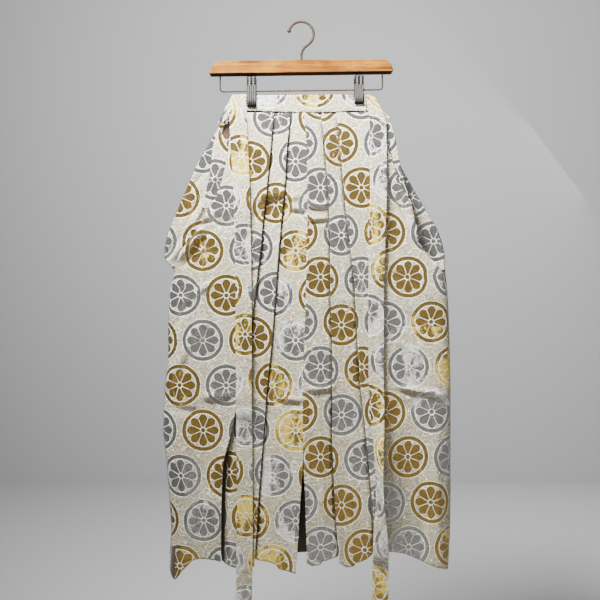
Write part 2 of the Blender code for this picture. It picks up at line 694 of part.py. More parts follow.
def boot(name, x, foot, near, d):
    """The rubber boot on a lever's tip: a U round the plate, whose near wall grips the cloth."""
    slot = near + d * PAD
    outer = slot + d * (CLIP_PLATE + 2 * SEAM)
    far = outer + d * BOOT_WALL
    floor, top = foot + BOOT_WALL, foot + BOOT_TALL
    outline = ((near, foot), (far, foot), (far, top), (outer, top), (outer, floor), (slot, floor),
               (slot, top), (near, top))
    half = (CLIP_WIDE - BOOT_NARROW) / 2
    points = [(x + end * half, y, z) for end in (-1, 1) for y, z in outline]
    count = len(outline)
    walls = [(0, 1, 4, 5), (1, 2, 3, 4), (0, 5, 6, 7)]
    faces = walls + [tuple(count + k for k in reversed(face)) for face in walls]
    for a in range(count):
        b = (a + 1) % count
        faces.append((b, a, a + count, b + count))
    mesh_object(name, points, faces, "rubber")


def sleeve(name, x, z):
    """The spring's sleeve round the rail, on which the clip slides."""
    sides = 16
    points, faces = [], []
    for end in (-1, 1):
        for radius in (SLEEVE_IN, SLEEVE_OUT):
            for k in range(sides):
                a = 2 * math.pi * k / sides
                points.append((x + end * SLEEVE_LONG / 2, radius * math.cos(a),
                               z + radius * math.sin(a)))
    inner0, outer0, inner1, outer1 = (sides * n for n in range(4))
    for k in range(sides):
        n = (k + 1) % sides
        faces.append((outer0 + k, outer0 + n, outer1 + n, outer1 + k))
        faces.append((inner0 + n, inner0 + k, inner1 + k, inner1 + n))
        faces.append((inner0 + k, inner0 + n, outer0 + n, outer0 + k))
        faces.append((inner1 + n, inner1 + k, outer1 + k, outer1 + n))
    mesh_object(name, points, faces, "steel")


def clips():
    """Two spring clips: two levers that pinch the waist through rubber boots."""
    front_face = WAISTBAND_Y - WAISTBAND / 2
    back_face = BOARD_ROWS[0].y + BOARD / 2
    for side, x in CLIP_X.items():
        top, foot = CLIP_TOP[side], CLIP_FOOT[side]
        rail_z = RAIL_LEVEL + x * math.tan(math.radians(HANGER_TILT))
        for name, face, d in (("front", front_face, -1), ("back", back_face, 1)):
            near = face + d * SEAM
            plate_y = near + d * (PAD + SEAM + CLIP_PLATE / 2)
            tip = foot + BOOT_WALL + SEAM
            lever(f"clip_{side}_{name}_lever", x, top, tip, rail_z, plate_y, d)
            boot(f"clip_{side}_{name}_pad", x, foot, near, d)
        sleeve(f"clip_{side}_spring", x, rail_z)


def main():
    for old in list(bpy.data.objects):
        bpy.data.objects.remove(old)
    hanger = bpy.data.objects.new("hanger", None)
    hanger.rotation_euler.y = -math.radians(HANGER_TILT)
    bpy.context.collection.objects.link(hanger)
    hook(hanger)
    bar(hanger)
    rail(hanger)
    clips()
    waistband()
    back_board()
    straps()
    front_panels()
    back_panels()
    side_folds()
    gores()
    gusset()


main()
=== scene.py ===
# %% [markdown]
# # A pleated hakama on a clip hanger
#
# The object is one pair of hakama: divided trousers of ivory brocade with five front pleats, long
# waist straps and open sides. Two spring clips hold its waist to a wooden trouser hanger. We load
# the plain solids as a fixed frame, and dress each one with cloth, wood or steel at its own place.

# %% load the frame
import math
from collections import namedtuple
from functools import partial

import bmesh
import bpy
import numpy as np
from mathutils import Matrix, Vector, noise


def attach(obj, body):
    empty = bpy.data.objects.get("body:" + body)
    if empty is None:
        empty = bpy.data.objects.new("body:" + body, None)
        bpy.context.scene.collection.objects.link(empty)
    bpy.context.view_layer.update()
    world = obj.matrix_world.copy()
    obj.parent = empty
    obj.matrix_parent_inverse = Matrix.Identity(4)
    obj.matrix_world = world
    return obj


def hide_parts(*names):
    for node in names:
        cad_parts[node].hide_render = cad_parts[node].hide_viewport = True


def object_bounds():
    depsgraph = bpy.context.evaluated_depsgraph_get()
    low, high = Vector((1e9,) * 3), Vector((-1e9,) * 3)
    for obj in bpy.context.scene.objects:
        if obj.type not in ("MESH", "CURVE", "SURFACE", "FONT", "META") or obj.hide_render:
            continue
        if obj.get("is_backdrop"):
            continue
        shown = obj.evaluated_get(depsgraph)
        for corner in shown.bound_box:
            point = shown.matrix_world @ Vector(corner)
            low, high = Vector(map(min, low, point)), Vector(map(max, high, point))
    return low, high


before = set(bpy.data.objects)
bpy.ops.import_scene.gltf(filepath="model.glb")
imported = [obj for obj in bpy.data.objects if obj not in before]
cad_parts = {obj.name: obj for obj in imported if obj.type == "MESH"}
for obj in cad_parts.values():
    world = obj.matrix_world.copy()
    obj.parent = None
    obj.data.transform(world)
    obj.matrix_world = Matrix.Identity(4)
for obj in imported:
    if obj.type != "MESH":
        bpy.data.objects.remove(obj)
cad_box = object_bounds()
MM = 0.001
print("solids:", len(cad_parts), "box:", [tuple(round(v, 3) for v in c) for c in cad_box])

# %% [markdown]
# ## The camera
#
# The garment hangs flat, and it is seen straight from the front at about half its height. A
# camera 1.6 m away sees the underside of the hanger's bar, as a person standing there would. A
# longer lens further back would flatten that away, so the distance is kept and the lens fitted.

# %% camera
VIEW_WIDE = 1.188                   # metres across the picture, at the cloth
VIEW_CENTRE = (-0.002, -0.5485)
CAMERA_FAR = 1.6
SENSOR = 36.0

camera_data = bpy.data.cameras.new("camera")
camera_data.sensor_width = SENSOR
camera_data.lens = SENSOR * CAMERA_FAR / VIEW_WIDE
camera = bpy.data.objects.new("camera", camera_data)
camera.location = (VIEW_CENTRE[0], -CAMERA_FAR, VIEW_CENTRE[1])
camera.rotation_euler = (math.radians(90), 0, 0)
bpy.context.collection.objects.link(camera)
bpy.context.scene.camera = camera
print("lens:", round(camera_data.lens, 1), "mm")

# %% [markdown]
# ## Colours and nodes
#
# Colours are easiest to pick as sRGB hex values, but shaders work in linear light, so one
# function turns them. Others add a node with its settings and links, which keeps each
# material's recipe short enough to read from top to bottom.


# %% colour and node helpers
def linear(code):
    """An sRGB hex colour as linear red, green, blue and alpha."""
    shares = [int(code[i:i + 2], 16) / 255 for i in (1, 3, 5)]
    return (*[s / 12.92 if s <= 0.04045 else ((s + 0.055) / 1.055) ** 2.4 for s in shares], 1)


def add(tree, kind, *inputs, **settings):
    """Adds a node, such as "Math ADD". Its inputs come in order, or by name as in_Name.

    A hex string is a colour, and a node or a socket is linked by its output.
    """
    kind, _, operation = kind.partition(" ")
    made = tree.nodes.new("ShaderNode" + kind)
    if operation:
        made.operation = operation
    for name, value in settings.items():
        if not name.startswith("in_"):
            setattr(made, name, value)
    wanted = list(zip([s for s in made.inputs if s.enabled], inputs))
    wanted += [(made.inputs[name[3:].replace("_", " ")], value)
               for name, value in settings.items() if name.startswith("in_")]
    for socket, value in wanted:
        if isinstance(value, bpy.types.Node):
            value = next(s for s in value.outputs if s.enabled)
        if isinstance(value, bpy.types.NodeSocket):
            tree.links.new(value, socket)
        else:
            socket.default_value = linear(value) if isinstance(value, str) else value
    return made


def mix(node, share, first, second):
    """Mixes two colours, with a tree's own way to add a node."""
    return node("Mix", share, first, second, data_type="RGBA")


def show(shader, **sources):
    """Links nodes to the shader's sockets, each by its socket's name."""
    for socket, source in sources.items():
        output = next(s for s in source.outputs if s.enabled)
        shader.id_data.links.new(output, shader.inputs[socket.replace("_", " ")])


def finish_named(name, **sockets):
    """A material with the given sockets, the way to add nodes to its tree, and its shader."""
    made = bpy.data.materials.new(name)
    made.use_nodes = True
    shader = made.node_tree.nodes["Principled BSDF"]
    for socket, value in sockets.items():
        shader.inputs[socket.replace("_", " ")].default_value = value
    return made, partial(add, made.node_tree), shader


print("white in linear light:", linear("#ffffff"))

# %% [markdown]
# ## The stage
#
# A pale floor and a pale wall far behind keep the eye on the cloth. They are marked as stage, so
# they aren't part of the object. The wall stands well back, so that it takes no shadow.

# %% stage
FLOOR_Z = -1.46
WALL_Y = 2.45
WALL_HIGH = 5
STAGE_OUT = 9               # how far the stage runs to each side


def plain(name, corners, code, rough):
    """A flat sheet of the stage through four corners."""
    mesh = bpy.data.meshes.new(name)
    mesh.from_pydata(corners, [], [(0, 1, 2, 3)])
    mesh.materials.append(finish_named(name, Base_Color=linear(code), Roughness=rough)[0])
    made = bpy.data.objects.new(name, mesh)
    bpy.context.collection.objects.link(made)
    made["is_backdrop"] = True


def edge_at(y, z):
    """A sheet's left and right corner at one depth and height."""
    return [(-STAGE_OUT, y, z), (STAGE_OUT, y, z)]


plain("floor", edge_at(-STAGE_OUT, FLOOR_Z) + edge_at(WALL_Y, FLOOR_Z)[::-1], "#b0b1b2", 0.9)
plain("wall", edge_at(WALL_Y, FLOOR_Z) + edge_at(WALL_Y, WALL_HIGH)[::-1], "#9fa0a4", 0.95)
print("floor at", FLOOR_Z, "m")

# %% [markdown]
# ## Light
#
# A soft lamp, close, high on the left and aimed over the hanger, makes the ivory bright at the
# top and lets it fall to beige at the hem. Metal threads show what they mirror, and they don't
# mirror that lamp. Instead a wide dim screen stands behind the camera, with a narrow window and
# a door before it, and the rest of the room is dark: the metal is deep where it faces the screen,
# glints where it finds the window, and blackens where it turns away. One lamp washes the wall,
# and one behind the trousers keeps their back readable.

# %% lights
Lamp = namedtuple("Lamp", "name place aim wide tall watts tint mirrored")
LAMPS = (
    Lamp("key", (-0.45, -0.55, 0.55), (0.0, 0.0, 0.6), 0.5, 0.35, 228, "#fffefb", False),
    Lamp("screen", (0.0, -2.3, -0.2), (0.0, 0.0, -0.2), 1.5, 1.9, 9, "#fff2e0", True),
    Lamp("window", (-0.36, -2.25, -0.3), (0.0, 0.0, -0.4), 0.12, 1.4, 6.5, "#fffaf2", True),
    Lamp("door", (0.62, -2.25, -0.7), (0.0, 0.0, -0.6), 0.1, 0.8, 3.2, "#fffaf2", True),
    Lamp("wall wash", (0.0, 0.7, 0.9), (0.0, 2.4, -0.7), 4.0, 0.8, 9, "#ffffff", True),
    Lamp("back fill", (1.6, 1.9, 0.6), (0.0, 0.0, -0.6), 1.4, 1.4, 20, "#ffffff", True),
)
GLOW_BETWEEN = (-0.25, 0.85)        # the room brightens between these upward directions
GLOW_STRENGTH = (0.03, 0.13)

for lamp in LAMPS:
    light = bpy.data.lights.new(lamp.name, "AREA")
    light.shape = "RECTANGLE"
    light.size = lamp.wide
    light.size_y = lamp.tall
    light.energy = lamp.watts
    light.color = linear(lamp.tint)[:3]
    placed = bpy.data.objects.new(lamp.name, light)
    placed.location = lamp.place
    placed.rotation_mode = "QUATERNION"
    aim = Vector(lamp.aim) - Vector(lamp.place)
    placed.rotation_quaternion = aim.to_track_quat("-Z", "Y")
    placed.visible_glossy = lamp.mirrored
    bpy.context.collection.objects.link(placed)

world = bpy.data.worlds.new("soft room")
world.use_nodes = True
room = world.node_tree
toward = add(room, "SeparateXYZ", add(room, "TexCoord").outputs["Generated"])
glow = add(room, "MapRange", toward.outputs["Z"], *GLOW_BETWEEN, *GLOW_STRENGTH)
room.nodes["Background"].inputs["Color"].default_value = linear("#e6e6e4")
room.links.new(glow.outputs[0], room.nodes["Background"].inputs["Strength"])
bpy.context.scene.world = world
print("lamps:", len(LAMPS))

# %% [markdown]
# ## Brocade
#
# The cloth is silk brocade: an ivory jacquard ground, whose raised lines are woven with the same
# thread, and rosettes of gilt and silvered paper thread laid across it. The pattern lives in the
# cloth, so it is worked out from how far a point lies across and along the cloth, in
# millimetres, and each pleat cuts it as the real one does. The rosettes stand in rows of bricks
# and the metals take turns. Real threads are about 0.4 mm apart; these are drawn three times as
# coarse, because finer ones wouldn't show. The foil carries painted highlights: in noise patches
# its colour is painted lit, and deeper between them, and small cells paint glints over it. Three
# finishes differ only in how much of it is painted lit: the plain cloth's, the one of the straps
# and of patches painted as catching the light, and the waistband's.

# %% brocade's sizes
PITCH_ACROSS = 92.0         # millimetres between rosettes in a row
PITCH_ALONG = 88.0          # and between rows
RING_MIDDLE = 37.0
RING_WIDE = 7.4
PETALS = 8
PETAL_LONG = 31.4
PETAL_NOTCH = 10.0
PETAL_GAP = 1.3
CENTRE_DISC = 4.4
CENTRE_RIM = 2.0
SOFT = 0.4                  # half the width of a woven edge
OUTLINE = 1.6               # the pale thread woven round the metal
THREAD = 1.2                # drawn spacing of the threads
WAVE_LINES = 3.1416         # about how many lines a wave texture of scale 1 draws in 1 mm
LIT_FROM = 0.81             # the noise value where the foil's painted highlight begins
LIT_TO = 0.895              # and where the foil is wholly painted lit
BLOOM = 36.0                # size of the ground's flowers
BLOOM_BEND = 22.0           # how far their outlines wander
BLOOM_RINGS = 4.5


# %% brocade's rosettes
def rosettes(node, u, v):
    """How deep a place lies in a rosette's metal, in millimetres, and which metal it is."""
    def maths(operation, *values):
        return node("Math " + operation, *values)

    row = maths("FLOOR", maths("DIVIDE", v, PITCH_ALONG))
    shifted = maths("MULTIPLY_ADD", row, PITCH_ACROSS / 2, u)
    column = maths("FLOOR", maths("DIVIDE", shifted, PITCH_ACROSS))
    x = maths("SUBTRACT", maths("FLOORED_MODULO", shifted, PITCH_ACROSS), PITCH_ACROSS / 2)
    y = maths("SUBTRACT", maths("FLOORED_MODULO", v, PITCH_ALONG), PITCH_ALONG / 2)
    reach = node("VectorMath LENGTH", node("CombineXYZ", x, y)).outputs["Value"]
    angle = maths("MULTIPLY", maths("ARCTAN2", y, x), PETALS / 2)
    across = maths("ABSOLUTE", maths("COSINE", angle))

    off_ring = maths("ABSOLUTE", maths("SUBTRACT", reach, RING_MIDDLE))
    ring = maths("SUBTRACT", RING_WIDE / 2, off_ring)
    rim = maths("MULTIPLY_ADD", maths("POWER", across, 0.7), PETAL_NOTCH, PETAL_LONG - PETAL_NOTCH)
    petal = maths("SUBTRACT", rim, reach)
    beside = maths("MULTIPLY", maths("MULTIPLY", reach, across), 2 / PETALS)
    petal = maths("MINIMUM", petal, maths("SUBTRACT", beside, PETAL_GAP / 2))
    petal = maths("MINIMUM", petal, maths("SUBTRACT", reach, CENTRE_DISC + CENTRE_RIM))
    petal = maths("MAXIMUM", petal, maths("SUBTRACT", CENTRE_DISC, reach))
    deep = maths("MAXIMUM", ring, petal)
    which = maths("PINGPONG", maths("ADD", column, row), 1.0)
    return deep, which


# %% brocade
def brocade(name, catch):
    """Ivory jacquard with gilt and silvered rosettes. More catch paints more of the metal lit, as
    painted highlight.
    """
    made, node, shader = finish_named(name, Sheen_Weight=0.1)
    place = node("VectorMath MULTIPLY", node("UVMap", uv_map="cloth"), (1000, 1000, 0))
    apart = node("SeparateXYZ", place)
    deep, which = rosettes(node, apart.outputs["X"], apart.outputs["Y"])
    metal = node("MapRange", deep, -SOFT, SOFT)
    near = node("MapRange", deep, -OUTLINE - SOFT, -OUTLINE + SOFT)

    drift = node("TexNoise", place, in_Scale=1 / 14, in_Detail=1.5)
    bent = node("VectorMath MULTIPLY_ADD", drift.outputs["Color"], (BLOOM_BEND,) * 3, place)
    bloom = node("TexVoronoi", bent, in_Scale=1 / BLOOM)
    nested = node("Math PINGPONG", node("Math MULTIPLY", bloom, BLOOM_RINGS), 0.5)
    line = node("MapRange", nested, 0.06, 0.11, 1.0, 0.0)
    pale = node("Math MAXIMUM", node("Math MULTIPLY", line, 0.75), near)
    threads = node("TexWave", place, bands_direction="Y", in_Scale=1 / THREAD / WAVE_LINES,
                   in_Distortion=0.4, in_Detail=0.0)
    crinkle = node("TexNoise", place, in_Scale=1 / 6.5, in_Detail=4.0, in_Roughness=0.6,
                   in_Distortion=0.5)
    sparkle = node("TexVoronoi", place, in_Scale=0.5)
    streak = node("TexNoise", node("VectorMath MULTIPLY", place, (1.0, 0.45, 1.0)),
                  in_Scale=1 / 42, in_Detail=3.0, in_Roughness=0.6)
    # painted highlight: this noise picks the patches where the foil's colour is painted lit
    glint_noise = node("Math MULTIPLY_ADD", crinkle, 0.35, streak)
    lit = node("MapRange", glint_noise, LIT_FROM - catch, LIT_TO - catch)

    worn = node("TexNoise", place, in_Scale=1 / 110, in_Detail=2.0)
    ground = mix(node, worn, "#bfbca6", "#a89e82")
    # painted shade: the ground is darker where the crinkle relief sinks
    crinkle_shade = node("MapRange", crinkle, 0.35, 0.6, 0.6, 0.0)
    ground = mix(node, crinkle_shade, ground, "#8c8168")
    ivory = mix(node, pale, ground, "#f2f1e6")
    # the lit tones of gilt and silver are painted highlight
    gilt = mix(node, lit, "#b2934a", "#f4d65c")
    silvered = mix(node, lit, "#adadad", "#ebebea")
    foil = mix(node, which, gilt, silvered)
    # painted glints: small cells brighten and darken the foil's colour
    glint = node("Math MULTIPLY_ADD", sparkle, 0.3, 0.84)
    foil = node("VectorMath SCALE", foil, in_Scale=glint)
    colour = mix(node, metal, ivory, foil)
    # where the foil is painted lit it is also less metallic and a little smoother
    woven = node("Math MULTIPLY", metal, node("Math MULTIPLY_ADD", lit, -0.45, 0.9))
    polished = node("Math MULTIPLY_ADD", lit, -0.06, 0.36)
    rough = node("Mix", metal, 0.6, polished)

    relief = node("Math MULTIPLY_ADD", threads, 0.3, node("Math MULTIPLY", line, 1.5))
    rumple = node("Math MULTIPLY_ADD", metal, -3.0, 4.4)
    relief = node("Math MULTIPLY_ADD", crinkle, rumple, relief)
    relief = node("Math MULTIPLY_ADD", metal, 0.4, relief)
    raised = node("Bump", in_Height=relief, in_Strength=0.8, in_Distance=0.0012)
    show(shader, Base_Color=colour, Metallic=woven, Roughness=rough, Normal=raised)
    return made


# The second and third finishes have more of their foil painted lit, as painted highlight.
SILK = brocade("silk brocade", 0.0)
PAINTED_LIT_SILK = brocade("silk brocade that catches the light", 0.17)
BAND_SILK = brocade("silk brocade of the waistband", 0.18)
print("brocade nodes:", len(SILK.node_tree.nodes))

# %% [markdown]
# The wrong side of a brocade shows the threads that the pattern doesn't use, floating in a
# reddish brown mass. It is dull, so it has no metal at all. Its brown is kept dark, partly as
# painted shade, because it shows mostly in shaded gaps.


# %% the cloth's wrong side
def wrong_side():
    made, node, shader = finish_named("brocade wrong side", Roughness=0.8, Sheen_Weight=0.2)
    place = node("UVMap", uv_map="cloth")
    floats = node("TexNoise", place, in_Scale=160.0, in_Detail=3.0)
    # partly painted shade: these browns are kept dark for the shaded gaps
    colour = mix(node, floats, "#2a1e15", "#584a3a")
    raised = node("Bump", in_Height=floats, in_Strength=0.3, in_Distance=0.0005)
    show(shader, Base_Color=colour, Normal=raised)
    return made


WRONG_SIDE = wrong_side()
print("wrong side:", WRONG_SIDE.name)

# %% [markdown]
# ## Hanger finishes
#
# The bar is lacquered beech: a warm honey colour, long narrow grain with short dark flecks, and a
# clear coat; its underside is a matte, darker copy, as painted shade. All the metal is nickel
# plated steel. The studs and springs are bright; the levers' pressed sheet is a darker copy, as
# painted shade, and darker still off its ribs, painted shade too; and the wire of the hook and
# rail is tinted brownish, a painted warm reflection. The boots are black rubber.


# %% beech, nickel and rubber
def beech(name, dark, pale, patch, **sockets):
    """Beech between two tones of grain, with paler patches and dark flecks."""
    made, node, shader = finish_named(name, **sockets)
    place = node("TexCoord").outputs["Object"]
    along = node("Mapping", place, in_Scale=(7, 60, 150))
    grain = node("TexNoise", along, in_Scale=1.0, in_Detail=5.0, in_Distortion=0.8)
    mottle = node("TexNoise", node("Mapping", place, in_Scale=(22, 40, 40)),
                  in_Scale=1.0, in_Detail=2.0)
    flecks = node("Mapping", place, in_Scale=(60, 700, 900))
    fleck = node("TexNoise", flecks, in_Scale=1.0, in_Detail=2.0)
    banded = node("MapRange", grain, 0.34, 0.68)
    base = mix(node, banded, dark, pale)
    base = mix(node, node("MapRange", mottle, 0.45, 0.75, 0.0, 0.45), base, patch)
    mark = node("Math MULTIPLY", node("Math GREATER_THAN", fleck, 0.62), 0.4)
    colour = mix(node, mark, base, "#4f2408")
    raised = node("Bump", in_Height=grain, in_Strength=0.12, in_Distance=0.0004)
    show(shader, Base_Color=colour, Normal=raised)
    return made


def nickel_steel(name, dark, pale, edge):
    """Plated steel between two tones, worn unevenly by hands and cloth."""
    made, node, shader = finish_named(name, Metallic=0.85, Specular_Tint=linear(edge))
    place = node("TexCoord").outputs["Object"]
    worn = node("TexNoise", place, in_Scale=60.0, in_Detail=2.0)
    rough = node("Math MULTIPLY_ADD", worn, 0.15, 0.36)
    show(shader, Base_Color=mix(node, worn, dark, pale), Roughness=rough)
    return made


def black_rubber():
    made, node, shader = finish_named("black rubber", Roughness=0.9, Specular_IOR_Level=0.1)
    place = node("TexCoord").outputs["Object"]
    dust = node("TexNoise", place, in_Scale=500.0)
    show(shader, Base_Color=mix(node, dust, "#030303", "#0b0b0b"))
    return made


BEECH = beech("lacquered beech", "#432509", "#7d4d13", "#976a22", Roughness=0.32,
              Coat_Weight=0.3, Coat_Roughness=0.15)
# painted shade: a matte, darker copy of the beech for the bar's underside
BEECH_SHADED_BELOW = beech("sawn beech", "#2c1407", "#4a270f", "#553013", Roughness=0.9,
                    Specular_IOR_Level=0.1)
NICKEL = nickel_steel("nickel plated steel", "#e6e5e4", "#ffffff", "#8e8c8a")
# painted shade: the levers' sheet is a darker copy of the nickel
PLATE_STEEL = nickel_steel("nickel plated steel sheet", "#8f8e8d", "#a8a7a5", "#5c5a58")
# painted reflection: the brown tint stands in for warm surroundings the wire mirrors
WIRE_STEEL = nickel_steel("nickel plated steel wire", "#5d4e45", "#8f7f74", "#1c1612")
# painted shade: darker still, for the lever's faces off its ribs
SHADED_GROOVE_STEEL = nickel_steel("dull steel of the grooves", "#3a3938", "#605f5d", "#1a1918")
RUBBER = black_rubber()
print("hanger finishes:", BEECH.name, NICKEL.name, WIRE_STEEL.name, RUBBER.name)

# %% [markdown]
# ## How the trousers hang
#
# Every piece of cloth is worked out from a few tables, in millimetres. `down` is the distance
# below the waistband's top, and `out` the distance from the hook's axis towards one side. The
# tables say where the side edges and pleat folds lie at each level, as a tailor would chalk them.
# A row names its columns by its kind, such as Level.


# %% the trousers' tables
def rows_of(kind, *rows):
    """A table: each plain row becomes one of its kind, with named columns."""
    return tuple(kind(*row) for row in rows)


WAIST_TOP = 143.6
SIDES = {"left": -1, "right": 1}
CLOTH = 1.1                 # the cloth's thickness
STEP = 1.6                  # from one layer of a pleat to the next
SEAM = 0.3                  # the gap left where two pieces meet
SEAM_OFF = SEAM / 2 + 0.4   # how far from a seam's middle the cloth of each side ends
HIDDEN = 0.72               # how much of a pleat's shown width is tucked under
SIDE_ROUND = 46.0           # how far in from the side seam the cloth turns towards it
FRONT_TOP = 34.4            # where the front's cloth begins, under the waistband
BACK_TOP = 54.4             # and the back's, under the board
CENTRE_GAP = 1.0
CROTCH = 478.0
CROTCH_RAMP = 34.0
GORE_UP = 8.0
HEM_START = 791.0
HEM_LEVEL = 912.0
LAP = 6.0
INSEAM_LAYER = 1 + 2 * HIDDEN
GORE_GAP = STEP * INSEAM_LAYER + CLOTH + SEAM + 0.3

Level = namedtuple("Level", "down front_edge back_edge outer_fold inner_fold centre_fold")
LEVELS = {
    "left": rows_of(
        Level,
        (34, 138, 150, 54, 22, -6), (80, 141, 175, 59, 26, -10), (108, 143, 192, 61, 29, -12),
        (138, 148, 209, 64, 31, -12), (167, 155, 221, 67, 32, -12), (201, 166, 237, 69, 35, -13),
        (231, 186, 248, 74, 38, -13), (262, 200, 262, 77, 41, -13), (292, 222, 271, 79, 43, -12),
        (320, 246, 274, 82, 46, -11), (349, 248, 249, 86, 48, -11), (385, 259, 259, 90, 51, -10),
        (445, 263, 263, 98, 55, -8), (514, 263, 263, 110, 61, -6), (579, 270, 270, 120, 68, -3),
        (662, 273, 273, 137, 74, -4), (722, 266, 266, 153, 79, -4), (791, 261, 261, 156, 84, 1),
        (850, 256, 256, 157, 88, 5), (912, 260, 260, 157, 92, 11)),
    "right": rows_of(
        Level,
        (34, 150, 160, 71, 40, 6), (80, 168, 186, 77, 47, 10), (108, 175, 192, 79, 49, 12),
        (138, 182, 198, 82, 51, 12), (167, 192, 215, 84, 54, 12), (201, 207, 234, 87, 56, 13),
        (231, 222, 252, 90, 57, 13), (262, 228, 271, 94, 58, 13), (292, 233, 282, 97, 59, 12),
        (320, 253, 287, 101, 59, 11), (349, 279, 287, 104, 59, 11), (385, 290, 290, 107, 59, 10),
        (445, 293, 293, 110, 61, 8), (514, 295, 295, 114, 63, 6), (579, 296, 296, 118, 63, 3),
        (662, 296, 296, 128, 62, 4), (722, 296, 296, 133, 64, 5), (791, 296, 296, 140, 67, 8),
        (850, 295, 295, 143, 71, 10), (912, 291, 291, 144, 76, 12)),
}
Hem = namedtuple("Hem", "out down")
FRONT_HEMS = {
    "left": (
        rows_of(Hem, (157, 913), (200, 911), (212, 914), (232, 934), (246, 953), (253, 949),
                (260, 933)),
        rows_of(Hem, (92, 924), (101, 931), (127, 935), (148, 928), (157, 924)),
        rows_of(Hem, (11, 938), (42, 931), (64, 922), (92, 919)),
    ),
    "right": (
        rows_of(Hem, (144, 900), (170, 894), (200, 900), (236, 915), (267, 928), (291, 936)),
        rows_of(Hem, (76, 918), (88, 928), (113, 925), (129, 918), (144, 904)),
        rows_of(Hem, (12, 917), (20, 924), (48, 921), (76, 912)),
    ),
}
BACK_HEM = 908.0
Depth = namedtuple("Depth", "down front back")
DEPTHS = rows_of(
    Depth,
    (34, -2.9, 8.6), (56, -4.2, 9.0), (108, -7.0, 10.0), (201, -10.5, 11.0), (320, -13.5, 12.0),
    (514, -16.5, 13.0), (722, -19.5, 13.5), (912, -22.0, 14.0))
BackFold = namedtuple("BackFold", "down outer_fold centre_fold")
BACK_FOLDS = rows_of(
    BackFold,
    (54, 52, 1.0), (320, 62, 1.0), (700, 78, 1.0), (912, 92, 1.5))
BACK_LEAN = 14.0            # the back's middle lies this far to one side
print("levels:", len(LEVELS["left"]), "a side")

# %% [markdown]
# ## Waves and creases
#
# Cloth that hangs is never flat. Slow upright waves grow towards the hem, and creases stay where
# it lay folded in a drawer: one line across the thighs and one across the shins. Each crease
# here is a soft ridge or trough between two given points, and the fine ones fade at their ends.

# %% waves and creases
Wave = namedtuple("Wave", "x half_width forward")
WAVES = rows_of(
    Wave,
    (-238, 26, 3.5), (-190, 24, -3.0), (-152, 26, 3.0), (-60, 24, 2.0), (22, 24, 1.5),
    (104, 26, -2.0), (172, 26, 3.5), (222, 26, -3.0), (268, 26, 4.0))
Crease = namedtuple("Crease", "x0 down0 x1 down1 half_width forward")
LARGE_CREASES = rows_of(
    Crease,
    (-188, 452, -262, 566, 13, 6.0), (-206, 490, -262, 600, 10, -5.0),
    (-262, 618, -210, 625, 9, -5.5), (-188, 592, -70, 600, 9, 2.5), (190, 612, 292, 628, 12, -3.0),
    (-60, 226, 60, 240, 9, -2.0), (-250, 880, -180, 800, 18, 3.0), (-210, 246, -74, 214, 9, 2.6),
    (-200, 268, -78, 236, 8, -2.4))
FINE_CREASES = rows_of(
    Crease,
    (-92, 206, -22, 190, 6, 7.0), (-94, 219, -22, 204, 6, -5.5), (-44, 208, 6, 198, 5, 4.5),
    (10, 217, 58, 219, 4, 5.0), (10, 225, 58, 227, 4, -5.0), (10, 246, 58, 243, 4, 5.0),
    (10, 254, 58, 251, 4, -4.5), (-24, 222, 12, 226, 4, 4.5), (-24, 231, 12, 235, 4, -4.5),
    (-56, 594, 8, 602, 4, 6.0), (-56, 602, 8, 610, 4, -3.5), (6, 580, 70, 576, 4, 6.0),
    (6, 588, 70, 584, 4, -3.5), (-26, 620, 8, 622, 4, 4.0), (176, 572, 300, 596, 4.5, 7.0),
    (176, 581, 300, 605, 4.5, -4.0), (-196, 596, -124, 586, 4.5, 6.0),
    (-196, 605, -124, 595, 4.5, -3.5), (-118, 588, -86, 600, 4, 3.0),
    (-160, 360, -245, 420, 6, 4.8), (-150, 300, -235, 330, 6, -4.8),
    (-200, 330, -180, 460, 7, 4.5), (-235, 700, -215, 860, 7, 3.6),
    (-200, 720, -196, 880, 6, -3.3), (-176, 640, -172, 890, 5, 3.0),
    (-110, 640, -118, 880, 6, 2.4), (190, 640, 184, 880, 7, 3.3), (232, 660, 240, 900, 8, -3.3),
    (262, 640, 270, 880, 7, 3.3), (180, 320, 270, 420, 7, 5.0), (200, 420, 285, 500, 7, -5.0),
    (176, 480, 250, 520, 6, 4.0), (184, 196, 214, 256, 4, -8.0), (196, 190, 226, 250, 5, 6.0),
    (222, 276, 265, 334, 4.5, -8.0), (236, 272, 278, 330, 5, 6.5), (190, 147, 226, 192, 5, 5.0),
    (260, 326, 288, 368, 5, 6.0), (-252, 338, -182, 250, 5, 6.5), (-240, 348, -172, 262, 5, -6.5),
    (-214, 262, -160, 244, 5, -5.0), (-30, 640, -34, 860, 6, 2.1), (40, 640, 42, 880, 6, 2.4),
    (100, 640, 108, 880, 6, 2.4), (244, 150, 210, 240, 6, 4.5), (-150, 150, -215, 205, 6, 4.5),
    (-205, 380, -255, 470, 5, -4.5), (176, 350, 210, 366, 5, -4.0), (-60, 300, -28, 306, 5, 1.8),
    (18, 330, 52, 336, 5, 1.8), (66, 400, 108, 410, 5, 2.0), (-74, 760, -30, 770, 5, 2.1),
    (14, 800, 60, 790, 5, 2.0))
SMALL_WAVE = 0.7            # how far the small unevenness of the cloth reaches
SMALL_SCALE = 0.021         # how often it comes, across a millimetre


def smooth(t):
    t = np.clip(t, 0.0, 1.0)
    return t * t * (3 - 2 * t)


def ramp(down, start, over):
    """0 down to the level start, then rising smoothly to 1 over some millimetres."""
    return smooth((down - start) / over)


